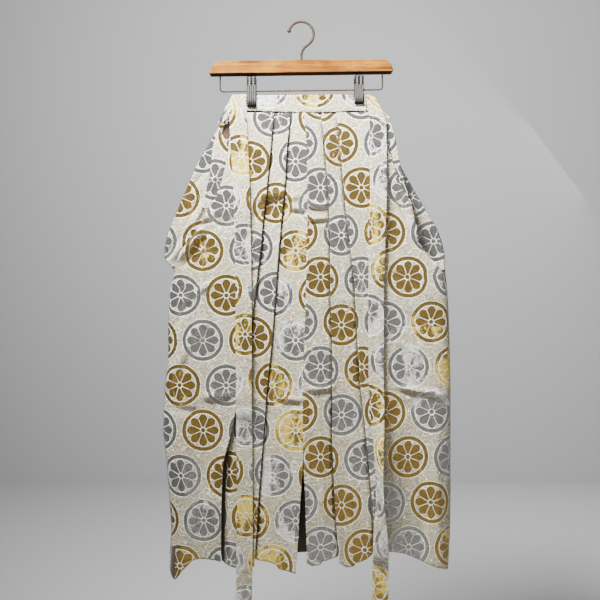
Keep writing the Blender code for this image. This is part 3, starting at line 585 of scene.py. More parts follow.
def ridges(creases, x, down, fade):
    """How far creases bring the cloth forward at arrays of places."""
    total = np.zeros(np.broadcast(x, down).shape)
    for c in creases:
        ax, ad = c.x1 - c.x0, c.down1 - c.down0
        share = ((x - c.x0) * ax + (down - c.down0) * ad) / (ax * ax + ad * ad)
        held = np.clip(share, 0, 1)
        away = np.hypot(x - c.x0 - held * ax, down - c.down0 - held * ad)
        ends = smooth(held / fade) * smooth((1 - held) / fade) if fade else 1.0
        total = total + c.forward * np.exp(-((away / c.half_width) ** 2)) * ends
    return total


def unevenness(x, down, seed):
    """Small soft waves, drawn from noise whose place is set by the seed."""
    flat = np.broadcast_arrays(x, down)
    out = np.zeros(flat[0].shape)
    for at in np.ndindex(out.shape):
        px, pd = flat[0][at] * SMALL_SCALE, flat[1][at] * SMALL_SCALE * 0.6
        large = noise.noise(Vector((px, pd, seed)))
        middle = noise.noise(Vector((px * 2.7, pd * 2.7, seed + 7)))
        small = noise.noise(Vector((px * 5.5, pd * 6.5, seed + 11)))
        out[at] = large + 0.4 * middle + 0.2 * small
    return SMALL_WAVE * out


def swell(x, down):
    """How far the waves and creases bring the cloth forward."""
    grown = ramp(down, start=250, over=650)
    waves = sum(w.forward * np.exp(-(((x - w.x) / w.half_width) ** 2)) for w in WAVES)
    return waves * grown + ridges(LARGE_CREASES, x, down, 0)


def at_level(rows, column, down):
    """A table's column at levels, between its rows."""
    return np.interp(down, [r.down for r in rows], [getattr(r, column) for r in rows])


def front_y(x, down):
    """Depth of the front's outer cloth."""
    folded = ridges(FINE_CREASES, x, down, 0.3) + unevenness(x, down, 3.0)
    return at_level(DEPTHS, "front", down) - swell(x, down) - folded


def back_y(x, down):
    """Depth of the back's outer cloth, which has like creases of its own."""
    folded = 0.7 * ridges(FINE_CREASES, -x, down, 0.3) + unevenness(x, down, 13.0)
    return at_level(DEPTHS, "back", down) - 0.4 * swell(-x, down) + folded


print("creases:", len(LARGE_CREASES) + len(FINE_CREASES))

# %% [markdown]
# ## Building a sheet
#
# A panel is a grid of points: its rows are levels, and its columns follow the cloth from the side
# seam in, through every fold. Each point also keeps where it lies in the flat cloth, which is
# what the brocade reads. Solidify then gives it thickness, with the wrong side inside.


# %% sheets from grids
LIT, PLAIN, WRONG = 0, 1, 2     # a sheet's finishes; LIT has more of its foil painted lit


def placed(name, mesh, slot):
    """An object of a mesh that rides on the one body. The slot is not used."""
    made = bpy.data.objects.new(name, mesh)
    bpy.context.collection.objects.link(made)
    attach(made, "root")
    return made


def grid_object(name, points, places, inside=WRONG_SIDE, shows=None):
    """A cloth object from a grid of points, in millimetres, and their places in the cloth.

    shows gives each point's finish on the right side, where it isn't all plain.
    """
    tall, wide = points.shape[:2]
    mesh = bpy.data.meshes.new(name)
    index = np.arange(tall * wide).reshape(tall, wide)
    a, b = index[:-1, :-1].ravel(), index[:-1, 1:].ravel()
    c, d = index[1:, 1:].ravel(), index[1:, :-1].ravel()
    quads = np.stack([a, b, c, d], 1)
    mesh.from_pydata((points.reshape(-1, 3) * MM).tolist(), [], quads.tolist())
    layer = mesh.uv_layers.new(name="cloth")
    corners = places.reshape(-1, 2)[quads.ravel()] * MM
    layer.uv.foreach_set("vector", corners.astype(np.float32).ravel())
    for finish in (PAINTED_LIT_SILK, SILK, inside):
        mesh.materials.append(finish)
    shown = np.full(len(a), PLAIN) if shows is None else shows.ravel()[a]
    mesh.polygons.foreach_set("material_index", shown.astype(np.int32))
    mesh.shade_smooth()
    made = placed(name, mesh, "brocade")
    shell = made.modifiers.new("thickness", "SOLIDIFY")
    shell.thickness = CLOTH * MM
    shell.offset = 0.0
    shell.material_offset = 2
    shell.material_offset_rim = 2
    shell.use_even_offset = True
    return made


def eased(values, reach=2):
    """A column of levels with its kinks eased by a short running mean."""
    padded = np.pad(values, reach, mode="edge")
    kernel = np.ones(2 * reach + 1) / (2 * reach + 1)
    return np.convolve(padded, kernel, mode="valid")


def eased_at(rows, column, downs, reach=2):
    """A table's column at levels, with its kinks eased."""
    return eased(at_level(rows, column, downs), reach)


cuts = {}                   # each sheet's width and length in the flat, in millimetres
print("a cloth thickness:", CLOTH, "mm")

# %% [markdown]
# ## Pleated halves
#
# One function follows the cloth of a half from its side edge in. The outer panel lies on top. At
# each fold the cloth turns back under itself, runs out to the tucked edge, and comes back below
# to show again as the next panel, so a pleat is three layers. `layer` counts steps below the
# top, and a shown panel climbs from layer 2, where it appears, to layer 0 at its own fold.

# %% one half's path
EDGE_POINTS = 16            # points over the side's rounded edge
SPREAD_POINTS = 36          # over the outer panel
GUTTER_POINTS = 6           # over the gutter beside a fold
NEXT_POINTS = 7             # over the rest of a shown panel
LAST_POINTS = 12            # over a panel's last part before its own fold
FOLD_TURN = 5               # round each fold
TUCKED = 7                  # and along each tucked layer
GUTTER = 5.0                # the strip beside a fold, in the next panel
FOLD_ROUND = 0.8            # how far a fold's turn bulges
LIFT_REACH = 9.0            # how far in from its edge a fold lifts
UNDER_FADE = 1.6            # how much faster that lift fades in the layer under it


class Path(list):
    """A half's cloth as lines down it: out, layer, how far forward it stands, and panel."""

    def run(self, start, stop, count, layer_of, ahead_of, panel, first=1):
        for t in np.linspace(0, 1, count)[first:]:
            out = start + (stop - start) * t
            self.append((out, layer_of(out), ahead_of(out), panel))

    def turn(self, fold, layer_of, ahead, direction, panel):
        for n in range(1, FOLD_TURN):
            angle = math.pi * n / FOLD_TURN
            self.append((fold - direction * FOLD_ROUND * math.sin(angle),
                         layer_of(fold) + (1 - math.cos(angle)) / 2, ahead, panel))

    def arrays(self):
        *lines, panels_of = zip(*self)
        return [*[np.stack(line, 1) for line in lines], np.array(panels_of)]


def follow(folds, hides, edge, lifts, dips, reaches):
    """The cloth's path in from its side edge.

    Each fold's lift is at the fold, and its dip is in the next panel, within the fold's reach.
    """
    path, flat = Path(), 0 * edge
    last = None
    for i, (fold, hide, lift, dip) in enumerate(zip(folds, hides, lifts, dips)):
        def sunk(out):
            return flat if i == 0 else 2 * (out - fold) / (folds[i - 1] - fold)

        def ahead(out):
            rise = lift * np.exp(-(np.maximum(out - fold, 0) / LIFT_REACH))
            if last is None:
                return rise
            return rise - last[1] * np.exp(-((np.maximum(last[0] - out, 0) / last[2]) ** 2))

        def under(out):
            return lift * np.exp(-(np.maximum(out - fold, 0) / LIFT_REACH * UNDER_FADE))

        def below(out):
            return -dip * smooth(1 - (out - fold) / hide)

        if i == 0:
            path.run(edge, edge - SIDE_ROUND, EDGE_POINTS, lambda out: flat, ahead, 0, first=0)
            path.run(edge - SIDE_ROUND, fold + hide, SPREAD_POINTS, sunk, ahead, 0)
        else:
            gutter_end = folds[i - 1] - GUTTER
            path.run(folds[i - 1], gutter_end, GUTTER_POINTS, sunk, ahead, i)
            path.run(gutter_end, fold + hide, NEXT_POINTS, sunk, ahead, i)
        tucked_end = fold + hide - FOLD_ROUND
        path.run(fold + hide, fold + FOLD_ROUND, LAST_POINTS, sunk, ahead, i)
        path.turn(fold, sunk, lift, 1, i)
        path.run(fold + FOLD_ROUND, tucked_end, TUCKED, lambda out: sunk(out) + 1, under, i, 0)
        if i < len(folds) - 1:
            path.turn(fold + hide, lambda out: sunk(out) + 1, flat, -1, i)
            path.run(tucked_end, fold, TUCKED, lambda out: sunk(out) + 2, below, i, 0)
        last = (fold, dip, reaches[i])
    return path.arrays()


def hidden_widths(folds, seam_out):
    """How far each fold's cloth is tucked under, the last as far as the inside leg seam."""
    tucked = [HIDDEN * (folds[0] - folds[1])]
    tucked += [HIDDEN * (a - b) for a, b in zip(folds, folds[1:])]
    tucked[-1] = seam_out - folds[-1]
    return tucked


print("points round a fold:", FOLD_TURN)

# %% levels and seams
ROW_GAP = 3.6               # millimetres between rows
FRONT_SHARE = 0.35          # the front's share in the side seams' depth
LOOSE_END = 1.6             # how much further the tucked cloth runs above the crotch


def front_folds(side, down):
    outer, inner, centre = [eased_at(LEVELS[side], fold + "_fold", down)
                            for fold in ("outer", "inner", "centre")]
    return [outer, inner, centre + CENTRE_GAP]


def back_folds(side, down):
    lean = SIDES[side] * BACK_LEAN
    return [at_level(BACK_FOLDS, "outer_fold", down) + lean,
            at_level(BACK_FOLDS, "centre_fold", down) + lean]


def inseam_out(side, down):
    """Where the inside leg seam lies: the tucked edge of the front's centre fold."""
    _, inner, centre = front_folds(side, down)
    return centre + HIDDEN * (inner - centre)


def seam_y(down):
    """Depth of the side seams, between the front and the back."""
    front, back = (at_level(DEPTHS, face, down) for face in ("front", "back"))
    return FRONT_SHARE * front + (1 - FRONT_SHARE) * back


def inseam_y(side, down):
    """Depth at which a leg's front and back meet along the inside leg seam."""
    x = SIDES[side] * inseam_out(side, down)
    front = front_y(x, down) + STEP * INSEAM_LAYER
    back = back_y(x, down) - STEP * INSEAM_LAYER
    return (front + back) / 2


def hem_height(down, hem):
    """Height of points: level rows, and below HEM_START rows that follow the hem."""
    share = np.clip((down - HEM_START) / (HEM_LEVEL - HEM_START), 0, None)
    return -WAIST_TOP - np.where(down <= HEM_START, down, HEM_START + (hem - HEM_START) * share)


def turned(y, from_edge, downs, forward):
    """Depth y, turned in towards the side seam where the side is closed."""
    close = ramp(downs, start=300, over=100)[:, None]
    bend = np.sqrt(np.clip(1 - (1 - np.clip(from_edge / SIDE_ROUND, 0, 1)) ** 2, 0, 1))
    middle = seam_y(downs)[:, None] + forward * SEAM_OFF
    return y + close * (middle + (y - middle) * bend - y)


HELD = {}                   # each half's points, for what hangs over it

# Patches of another finish on a panel: from which level to which, and how far in from its outer
# edge. WRONG is where the brown wrong side shows at the left outer panel's lower corner, and on
# the left's second panel beside its fold, where it is painted shade for the open pleat's gap. LIT
# is where the cloth takes the finish with more of its foil painted lit, as painted highlight.
Patch = namedtuple("Patch", "panel top bottom near far finish")
PATCHES = {
    "front_panel_cloth_left": (Patch(0, 862, 999, -2, 15, WRONG), Patch(1, 706, 999, -1, 9, WRONG),
                               Patch(2, 190, 999, 6, 80, LIT)),
    "front_panel_cloth_right": (Patch(0, 455, 610, 0, 95, LIT),),
}


def half(name, side, downs, edge, folds, plies, seed, face_y, hem_of, forward):
    """One half of the front (forward -1) or of the back (forward 1)."""
    lifts, dips, reaches = fold_depths(plies, downs, seed)
    s = SIDES[side]
    hides = hidden_widths(folds, inseam_out(side, downs))
    shut = ramp(downs, CROTCH, CROTCH_RAMP)
    out, layer, ahead, panel = follow(folds, hides, edge, lifts, dips, reaches)
    level = np.repeat(downs[:, None], out.shape[1], 1)
    x = s * out
    y = face_y(x, level) - forward * STEP * layer + forward * ahead
    top = (panel == 0)[None, :] & (layer == 0)
    y = np.where(top, turned(y, edge[:, None] - out, downs, forward), y)
    hem = np.stack([hem_of(int(p), out[:, k], layer[:, k]) for k, p in enumerate(panel)], 1)
    z = hem_height(level, hem)
    end_y = y[:, -1] + shut * (inseam_y(side, downs) + forward * SEAM_OFF - y[:, -1])
    end_x = x[:, -1] + s * LOOSE_END * (1 - shut)
    points = np.stack([x, y, z], 2)
    points = np.concatenate([points, np.stack([end_x, end_y, z[:, -1]], 1)[:, None]], 1)
    HELD[name] = points.reshape(-1, 3)
    steps = (np.diff(points[:, :, axis], axis=1) for axis in (0, 1))
    along = np.cumsum(np.hypot(*steps), axis=1)
    along = np.concatenate([np.zeros((len(downs), 1)), along], 1)
    places = cloth_places(points, along, panel, layer, folds, s)
    cuts[name] = (float(along[:, -1].mean()), float(downs[-1] - downs[0]))
    print(name, "is", round(cuts[name][0]), "mm round its folds")
    shows = np.full(out.shape, PLAIN)
    if forward > 0:
        shows[:, -TUCKED:] = WRONG
    for patch in PATCHES.get(name, ()):
        start = folds[patch.panel - 1] if patch.panel else edge
        inward = start[:, None] - out
        held = (level > patch.top) & (level < patch.bottom) & (panel == patch.panel)[None, :]
        shows[held & (inward > patch.near) & (inward < patch.far)] = patch.finish
    shows = np.concatenate([shows, shows[:, -1:]], 1)
    if s * forward > 0:
        points, places, shows = points[:, ::-1], places[:, ::-1], shows[:, ::-1]
    return grid_object(name, points, places, shows=shows)


def cloth_places(points, along, panel, layer, folds, s):
    """Where each point lies in the flat cloth: across from its own fold, and along."""
    across, lower = np.zeros(along.shape), np.zeros(along.shape)
    for i, (fold, shift) in enumerate(zip(folds, PANEL_SHIFT[s])):
        columns = [k for k, p in enumerate(panel) if p == i]
        if i == 0:
            start = max(k for k in columns if (layer[:, k] == 0).all())
        else:
            start = min(columns, key=lambda k: layer[:, k].mean())
        for k in columns:
            gone = along[:, k] - along[:, start]
            across[:, k] = s * (fold - gone) + shift[0]
            lower[:, k] = shift[1]
    across[:, -1], lower[:, -1] = across[:, -2], lower[:, -2]
    return np.stack([across, lower - points[:, :, 2] - WAIST_TOP], 2)


# How far each panel's brocade is moved across and along, from the side in.
PANEL_SHIFT = {-1: ((8.0, 0.0), (3.0, 6.0), (10.0, 0.0)),
               1: ((20.0, 36.0), (13.0, 30.0), (8.0, 36.0))}
print("rows about", round((HEM_LEVEL - FRONT_TOP) / ROW_GAP))

# %% front and back halves
TOP_REACH = 4.2             # how wide the dip beside a fold is, where the pleat is shut
Ply = namedtuple("Ply", "top_lift hem_lift top_dip hem_dip hem_reach")
FRONT_PLIES = {
    "left": rows_of(
        Ply,
        (1.8, 7.0, 6.5, 16.0, 11.0), (1.8, 3.0, 6.5, 8.0, 4.4), (1.0, 4.5, 2.5, 3.0, 9.0)),
    "right": rows_of(
        Ply,
        (2.0, 5.0, 7.0, 9.5, 4.0), (2.2, 4.5, 7.0, 9.0, 4.0), (1.4, 4.0, 1.5, 2.0, 6.0)),
}
BACK_PLIES = rows_of(Ply, (1.0, 4.0, 0.8, 3.0, 11.0), (0.8, 3.0, 0.4, 1.5, 11.0))
PRESSED_FLAT = 0.9          # how far the band's stitches press the pleats in
WAVER = 0.55                # how uneven a fold's lift is along it
WAVER_LONG = 85             # and over what length
TUCKED_SHORT = 6.0          # how much higher than the shown hem the tucked cloth ends


def levels_from(top):
    return np.linspace(top, HEM_LEVEL, int((HEM_LEVEL - top) / ROW_GAP) + 1)


def fold_depths(plies, downs, seed):
    """How far each fold lifts and the cloth past it dips, uneven along the fold."""
    grown = ramp(downs, start=60, over=800)
    late = ramp(downs, start=560, over=220)
    pressed = ramp(downs, start=34, over=50)
    lifts, dips, reaches = [], [], []
    for n, ply in enumerate(plies):
        waver = np.array([noise.noise(Vector((d / WAVER_LONG, seed, n * 3.7))) for d in downs])
        lift = (ply.top_lift + (ply.hem_lift - ply.top_lift) * grown) * (1 + WAVER * waver)
        lifts.append(pressed * lift - PRESSED_FLAT * (1 - pressed))
        dips.append(pressed * ply.top_dip + (ply.hem_dip - ply.top_dip) * grown * late)
        reaches.append(TOP_REACH + (ply.hem_reach - TOP_REACH) * late)
    return lifts, dips, reaches


def front_half(side):
    downs = levels_from(FRONT_TOP)

    def hem(panel, out, layer):
        rows = FRONT_HEMS[side][panel]
        tucked = np.where(layer >= 0.9, TUCKED_SHORT, 0.0)
        return np.interp(out, [h.out for h in rows], [h.down for h in rows]) - tucked
    edge = eased_at(LEVELS[side], "front_edge", downs)
    return half("front_panel_cloth_" + side, side, downs, edge, front_folds(side, downs),
                FRONT_PLIES[side], 4.0 + SIDES[side], front_y, hem, -1)


def back_half(side):
    downs = levels_from(BACK_TOP)
    edge = eased_at(LEVELS[side], "back_edge", downs)
    return half("back_panel_cloth_" + side, side, downs, edge, back_folds(side, downs),
                BACK_PLIES, 9.0 + SIDES[side], back_y, lambda p, out, layer: BACK_HEM + 0 * out,
                1)


for side in SIDES:
    for face, make in (("front", front_half), ("back", back_half)):
        make(side)
        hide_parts(face + "_panel_" + side)

# %% [markdown]
# ## Side slants, gores and gusset
#
# Beside each side opening the cloth's edge is turned in, so that a second strip shows past the
# first. At the middle a gore joins the two halves down to the crotch, and a small square gusset
# closes the trough between the gores. They are grids too, with the brocade outwards.

# %% strips of cloth
FoldRow = namedtuple("FoldRow", "down outer inner")
FRONT_SLANTS = {
    "left": rows_of(
        FoldRow,
        (70, 164, 160), (80, 167, 156), (87, 169, 142), (92, 171, 134), (108, 175, 133),
        (138, 177, 137), (167, 181, 143), (201, 190, 153), (226, 195, 170)),
    "right": rows_of(
        FoldRow,
        (54, 176, 171), (62, 181, 155), (68, 182, 153), (98, 189, 160), (134, 195, 168),
        (167, 202, 178), (201, 212, 193), (221, 219, 206)),
}
BACK_SLANT_WIDE = ((44, 7), (74, 13), (86, 20), (96, 62))    # (down, width)
BACK_SLANT_TOP = 46.0
BACK_SLANT_END = 346.0
Grid = namedtuple("Grid", "rows columns shift")     # shift moves its brocade across and along
FRONT_SLANT = Grid(40, 12, (31, 52))
BACK_SLANT = Grid(80, 22, (12, 20))
GORE_GRID = Grid(70, 24, (5, 9))
GUSSET_ROWS, GUSSET_COLUMNS = 25, 15


def strip(name, downs, outer, inner, depth, grid, inside=SILK):
    """A strip whose depth at each place is depth(x, level)."""
    share = np.linspace(0, 1, grid.columns)
    x = outer[:, None] + (inner - outer)[:, None] * share
    level = np.repeat(downs[:, None], grid.columns, 1)
    points = np.stack([x, depth(x, level), -WAIST_TOP - level], 2)
    places = np.stack([x + grid.shift[0], level + grid.shift[1]], 2)
    cuts[name] = (float(np.abs(outer - inner).mean()), float(downs[-1] - downs[0]))
    return grid_object(name, points, places, inside)


def behind_panel(side, column, face_y, forward):
    """Depth of a strip that lies one step inside a panel, turned as the panel is."""
    def depth(x, level):
        downs = level[:, 0]
        edge = eased_at(LEVELS[side], column, downs)
        y = face_y(x, level)
        return turned(y, edge[:, None] - SIDES[side] * x, downs, forward) - forward * (STEP + 0.1)
    return depth


for side, s in SIDES.items():
    rows = FRONT_SLANTS[side]
    downs = np.linspace(rows[0].down, rows[-1].down, FRONT_SLANT.rows)
    outer, inner = (s * eased_at(rows, column, downs, 1) for column in ("outer", "inner"))
    strip(
        "front_slant_" + side, downs, outer, inner,
        behind_panel(side, "front_edge", front_y, -1), FRONT_SLANT)
    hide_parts("front_side_fold_" + side)
    downs = np.linspace(BACK_SLANT_TOP, BACK_SLANT_END, BACK_SLANT.rows)
    edge = eased_at(LEVELS[side], "back_edge", downs) - 1.0
    wide = np.interp(downs, *zip(*BACK_SLANT_WIDE))
    strip(
        "back_slant_" + side, downs, s * edge, s * (edge - wide),
        behind_panel(side, "back_edge", back_y, 1), BACK_SLANT)
    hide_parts("back_side_fold_" + side)

# %% gores and gusset
Gore = namedtuple("Gore", "name face_y inward top")
GORES = (Gore("front_gore", front_y, 1, FRONT_TOP), Gore("back_gore", back_y, -1, BACK_TOP))
GUSSET_DROP = 26.0
GUSSET_LONG = 40.0          # of its brocade, from front to back


def inside_pleats(gore):
    """Depth of a gore, inside all the layers of the pleats beside it."""
    return lambda x, level: gore.face_y(x, level) + gore.inward * GORE_GAP


for gore in GORES:
    downs = np.linspace(gore.top, CROTCH - GORE_UP, GORE_GRID.rows)
    left, right = -inseam_out("left", downs) - LAP, inseam_out("right", downs) + LAP
    strip(gore.name + "_cloth", downs, left, right, inside_pleats(gore),
                             GORE_GRID, WRONG_SIDE)
    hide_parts(gore.name)

crotch = np.array([CROTCH])
left = float(-inseam_out("left", crotch)[0]) + LAP / 2
right = float(inseam_out("right", crotch)[0]) - LAP / 2
front = float(front_y(np.array([0.0]), crotch)[0]) + GORE_GAP
back = float(back_y(np.array([0.0]), crotch)[0]) - GORE_GAP
across = np.linspace(left, right, GUSSET_COLUMNS)
angles = np.radians(np.linspace(0, 180, GUSSET_ROWS))[:, None]
across, angles = np.broadcast_arrays(across, angles)
gusset_points = np.stack([
    across, (front + back) / 2 - (back - front) / 2 * np.cos(angles),
    -WAIST_TOP - (CROTCH - GORE_UP + SEAM + GUSSET_DROP * np.sin(angles))], 2)
gusset_places = np.stack([across, GUSSET_LONG * angles / math.pi], 2)
gusset = grid_object("gusset_cloth", gusset_points, gusset_places)
steps = np.diff(gusset_points[:, 0, 1:], axis=0)
cuts["gusset_cloth"] = (right - left, float(np.hypot(*steps.T).sum()))
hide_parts("crotch_gusset")

# %% [markdown]
# ## Bands of doubled cloth
#
# The waistband, the straps and the covered board are doubled cloth, pressed flat, so their long
# edges are rounded folds. Each is a ring of points carried along a line of stations. A station
# holds the band's middle, the direction across it, its width, and the places in the cloth at its
# two edges, so that the brocade runs along it without stretching. Nothing shows of a band's
# inside, so it has no lining.

# %% bands
Station = namedtuple("Station", "middle across width low high")
BAND_COLUMNS = 9
BAND_EDGE = 3               # points round each folded edge


def flat_station(middle, width, at, along, across=(1, 0, 0)):
    """A station whose brocade is centred on at, and at the same place along all across."""
    return Station(middle, across, width, (at - width / 2, along), (at + width / 2, along))


def band_ring():
    """The ring's points, as (share across, share of the thickness)."""
    flat = np.linspace(-1, 1, BAND_COLUMNS)
    turn = [math.cos(math.pi * k / (BAND_EDGE + 1)) for k in range(1, BAND_EDGE + 1)]
    return [*[(a, 1.0) for a in flat], *[(1.0, b) for b in turn],
            *[(a, -1.0) for a in flat[::-1]], *[(-1.0, -b) for b in turn]]


def band(name, stations, thick, seed, uneven, finish=SILK):
    """A band of doubled cloth through stations, in millimetres."""
    ring = band_ring()
    middles = [Vector(s.middle) for s in stations]
    cuts[name] = (sum(s.width for s in stations) / len(stations),
                  sum((b - a).length for a, b in zip(middles, middles[1:])))
    points, places = [], []
    for i, station in enumerate(stations):
        before, after = middles[max(i - 1, 0)], middles[min(i + 1, len(middles) - 1)]
        side_way = Vector(station.across).normalized()
        normal = (after - before).cross(side_way).normalized()
        for a, b in ring:
            bulge = math.sqrt(1 - b * b) * thick / 2 * (1 if a > 0 else -1)
            reach = a * (station.width / 2 - thick / 2) + bulge
            soft = uneven * noise.noise(Vector((reach / 14, station.low[1] / 22, seed)))
            points.append(middles[i] + side_way * reach + normal * (b * thick / 2 + soft))
            share = (a + 1) / 2
            places.append([p + (q - p) * share for p, q in zip(station.low, station.high)])
    size = len(ring)
    faces = []
    for i in range(len(stations) - 1):
        for k in range(size):
            n = (k + 1) % size
            faces.append((i * size + k, i * size + n, (i + 1) * size + n, (i + 1) * size + k))
    last = (len(stations) - 1) * size
    faces += [tuple(range(size - 1, -1, -1)), tuple(range(last, last + size))]
    mesh = bpy.data.meshes.new(name)
    mesh.from_pydata([tuple(p * MM) for p in points], [], faces)
    layer = mesh.uv_layers.new(name="cloth")
    for loop in mesh.loops:
        layer.uv[loop.index].vector = [v * MM for v in places[loop.vertex_index]]
    mesh.materials.append(finish)
    shape = bmesh.new()
    shape.from_mesh(mesh)
    bmesh.ops.recalc_face_normals(shape, faces=shape.faces)
    shape.to_mesh(mesh)
    shape.free()
    mesh.shade_smooth()
    return placed(name, mesh, "brocade")


print("points in a band's ring:", len(band_ring()))

# %% [markdown]
# The waistband is stitched over the pleats' top. It bows down a little at the middle, and it
# dimples beside each clip, where the jaws pinch it.

# %% waistband
WAISTBAND = 3.0
WAISTBAND_Y = -2.4
BAND_SHIFT = (20, 58)       # where its brocade starts
BandSpot = namedtuple("BandSpot", "x top bottom")
BAND_SPOTS = rows_of(
    BandSpot,
    (-107.5, 0.0, 31), (-80, 0.0, 32), (-50, 0.0, 33), (-20, -0.5, 34), (10, -1.0, 34),
    (45, -1.0, 34), (80, -0.8, 33), (107, 0.0, 31), (129.5, 0.0, 33.5))
xs = np.linspace(BAND_SPOTS[0].x, BAND_SPOTS[-1].x, 90)
spots_x, spots_top, spots_bottom = zip(*BAND_SPOTS)
tops = eased(np.interp(xs, spots_x, spots_top), 4)
lows = eased(np.interp(xs, spots_x, spots_bottom), 4)
stations = [
    Station((x, WAISTBAND_Y, -WAIST_TOP - (top + low) / 2), (0, 0, 1), low - top,
            (x + BAND_SHIFT[0], low + BAND_SHIFT[1]), (x + BAND_SHIFT[0], top + BAND_SHIFT[1]))
    for x, top, low in zip(xs, tops, lows)]
# the waistband's finish has more of its foil painted lit, as painted highlight
waistband = band("waistband_cloth", stations, WAISTBAND, seed=2.0, uneven=0.45,
                 finish=BAND_SILK)
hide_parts("front_waistband")
print("waistband:", round(xs[-1] - xs[0]), "mm long")

# %% [markdown]
# The board at the back of the waist is stiff card covered with brocade. It is widest at its
# lower edge, where the back is sewn to it, and its top leans forward to the waistband. Its side
# towards the body shows the dark wrong side of the brocade, which also stands in, as painted
# shade, for the shaded recess seen beside the left strap's sewn end.

# %% back board
BoardRow = namedtuple("BoardRow", "down left right y")
BOARD_ROWS = rows_of(
    BoardRow,
    (-2.5, -112, 126, 1.0), (24, -124, 136, 1.0), (33, -134, 146, 6.4), (53.8, -148, 158, 8.0))
BOARD = 3.0
BOARD_SHIFT = (66, 40)
stations = []
for down in np.linspace(BOARD_ROWS[0].down, BOARD_ROWS[-1].down, 30):
    left, right = at_level(BOARD_ROWS, "left", down), at_level(BOARD_ROWS, "right", down)
    middle = ((left + right) / 2, at_level(BOARD_ROWS, "y", down), -WAIST_TOP - down)
    stations.append(flat_station(middle, right - left, middle[0] + BOARD_SHIFT[0],
                                 down + BOARD_SHIFT[1]))
board = band("back_board_cloth", stations, BOARD, seed=5.0, uneven=0.15)
board.data.materials.append(WRONG_SIDE)
# front faces take the wrong side, partly as painted shade
for face in board.data.polygons:
    face.material_index = int(face.normal.y < -0.5)
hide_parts("back_board")
print("board:", BOARD_ROWS[-1].right - BOARD_ROWS[-1].left, "mm wide below")

# %% [markdown]
# ## Straps
#
# Each front strap is sewn to an end of the waistband. Its end sags outwards behind the side, and
# then the strap turns up over the band's top edge and hangs down the front in one long run. The
# right one twists nearly edge on at the knee. The back straps hang behind from the board.

# %% straps' tables
STRAP = 1.8
StrapRow = namedtuple("StrapRow", "down outer inner turn")
STRAP_ROWS = {
    "left": rows_of(
        StrapRow,
        (0.0, 136, 108, 0), (20, 139, 108, 0), (43, 141.5, 107, 0), (100, 139, 104, 0),
        (160, 134, 101, 0), (207, 132, 100, 0), (306, 129, 97.5, 0), (405, 127.5, 96, 0),
        (603, 126.5, 95.5, 0), (800, 124.5, 93.5, 0), (912, 125.5, 94, 0), (1000, 127.5, 96, 0),
        (1120, 128.5, 97, 0)),
    "right": rows_of(
        StrapRow,
        (0.0, 137, 130, 0), (4, 143, 131, 0), (12, 151, 131, 0), (27, 158, 132.5, 0),
        (40, 168, 134.5, 0), (58, 168.5, 135.5, 0), (108, 169, 135.5, 0), (201, 168, 135, 0),
        (300, 164.5, 132.5, 0), (385, 162, 131, 0), (560, 161, 131.5, 0), (630, 162, 134, 25),
        (690, 164, 135, 55), (740, 166, 135, 70), (800, 167, 136, 68), (850, 168, 138, 35),
        (905, 170, 139, 0), (1000, 170, 139, 0), (1120, 170.5, 139.5, 0)),
}
STRAP_CLEAR = 0.9
STRAP_TURN = STRAP + 0.6    # from its sewn end forward to its hang, at the turn over the band
HANG_ACROSS = 125           # where the brocade of the long hang is centred, across the cloth
STRAP_STANDS = {"left": 4.5, "right": 7.5}      # off the cloth, where it hangs free
EarRow = namedtuple("EarRow", "down outer inner")
EAR_ROWS = {
    "left": rows_of(
        EarRow,
        (56, 164, 158), (44, 160, 143), (34.1, 154.5, 142), (33.5, 154, 108), (12, 142, 108),
        (2.5, 137, 108)),
    "right": rows_of(
        EarRow,
        (46, 178, 171), (40, 172, 163), (34.1, 164, 156), (33.5, 163, 130), (12, 151, 130),
        (2.5, 140, 130)),
}
STRAP_SHIFT = {"left": (30.0, 12.0), "right": (76.0, 50.0)}
print("straps hang:", STRAP_ROWS["left"][-1].down, "mm")


# %% front straps
def ear_stations(side):
    """The strap's sewn end, from its lowest point behind the side up to the band's top."""
    s, rows, made = SIDES[side], EAR_ROWS[side], []
    shift = STRAP_SHIFT[side]
    for a, b in zip(rows, rows[1:]):
        steps = max(2, round((a.down - b.down) / 1.5))
        for t in np.linspace(0, 1, steps, endpoint=False):
            down, outer, inner = (p + (q - p) * t for p, q in zip(a, b))
            x = s * (outer + inner) / 2
            made.append(flat_station((x, WAISTBAND_Y, -WAIST_TOP - down), outer - inner,
                                     x + shift[0], shift[1] - down))
    return made


def nearest_face(name, a, b, downs, forward):
    """The panel's foremost depth (forward -1) or rearmost (1) under a strap, at each level."""
    held, found = HELD[name], []
    for low, high, down in zip(np.minimum(a, b), np.maximum(a, b), downs):
        near = held[(held[:, 0] > low - 3) & (held[:, 0] < high + 3)
                    & (np.abs(held[:, 2] + WAIST_TOP + down) < 7)]
        found.append(forward * np.max(forward * near[:, 1]) if len(near) else np.nan)
    found = np.array(found)
    known = ~np.isnan(found)
    return np.interp(downs, downs[known], found[known])


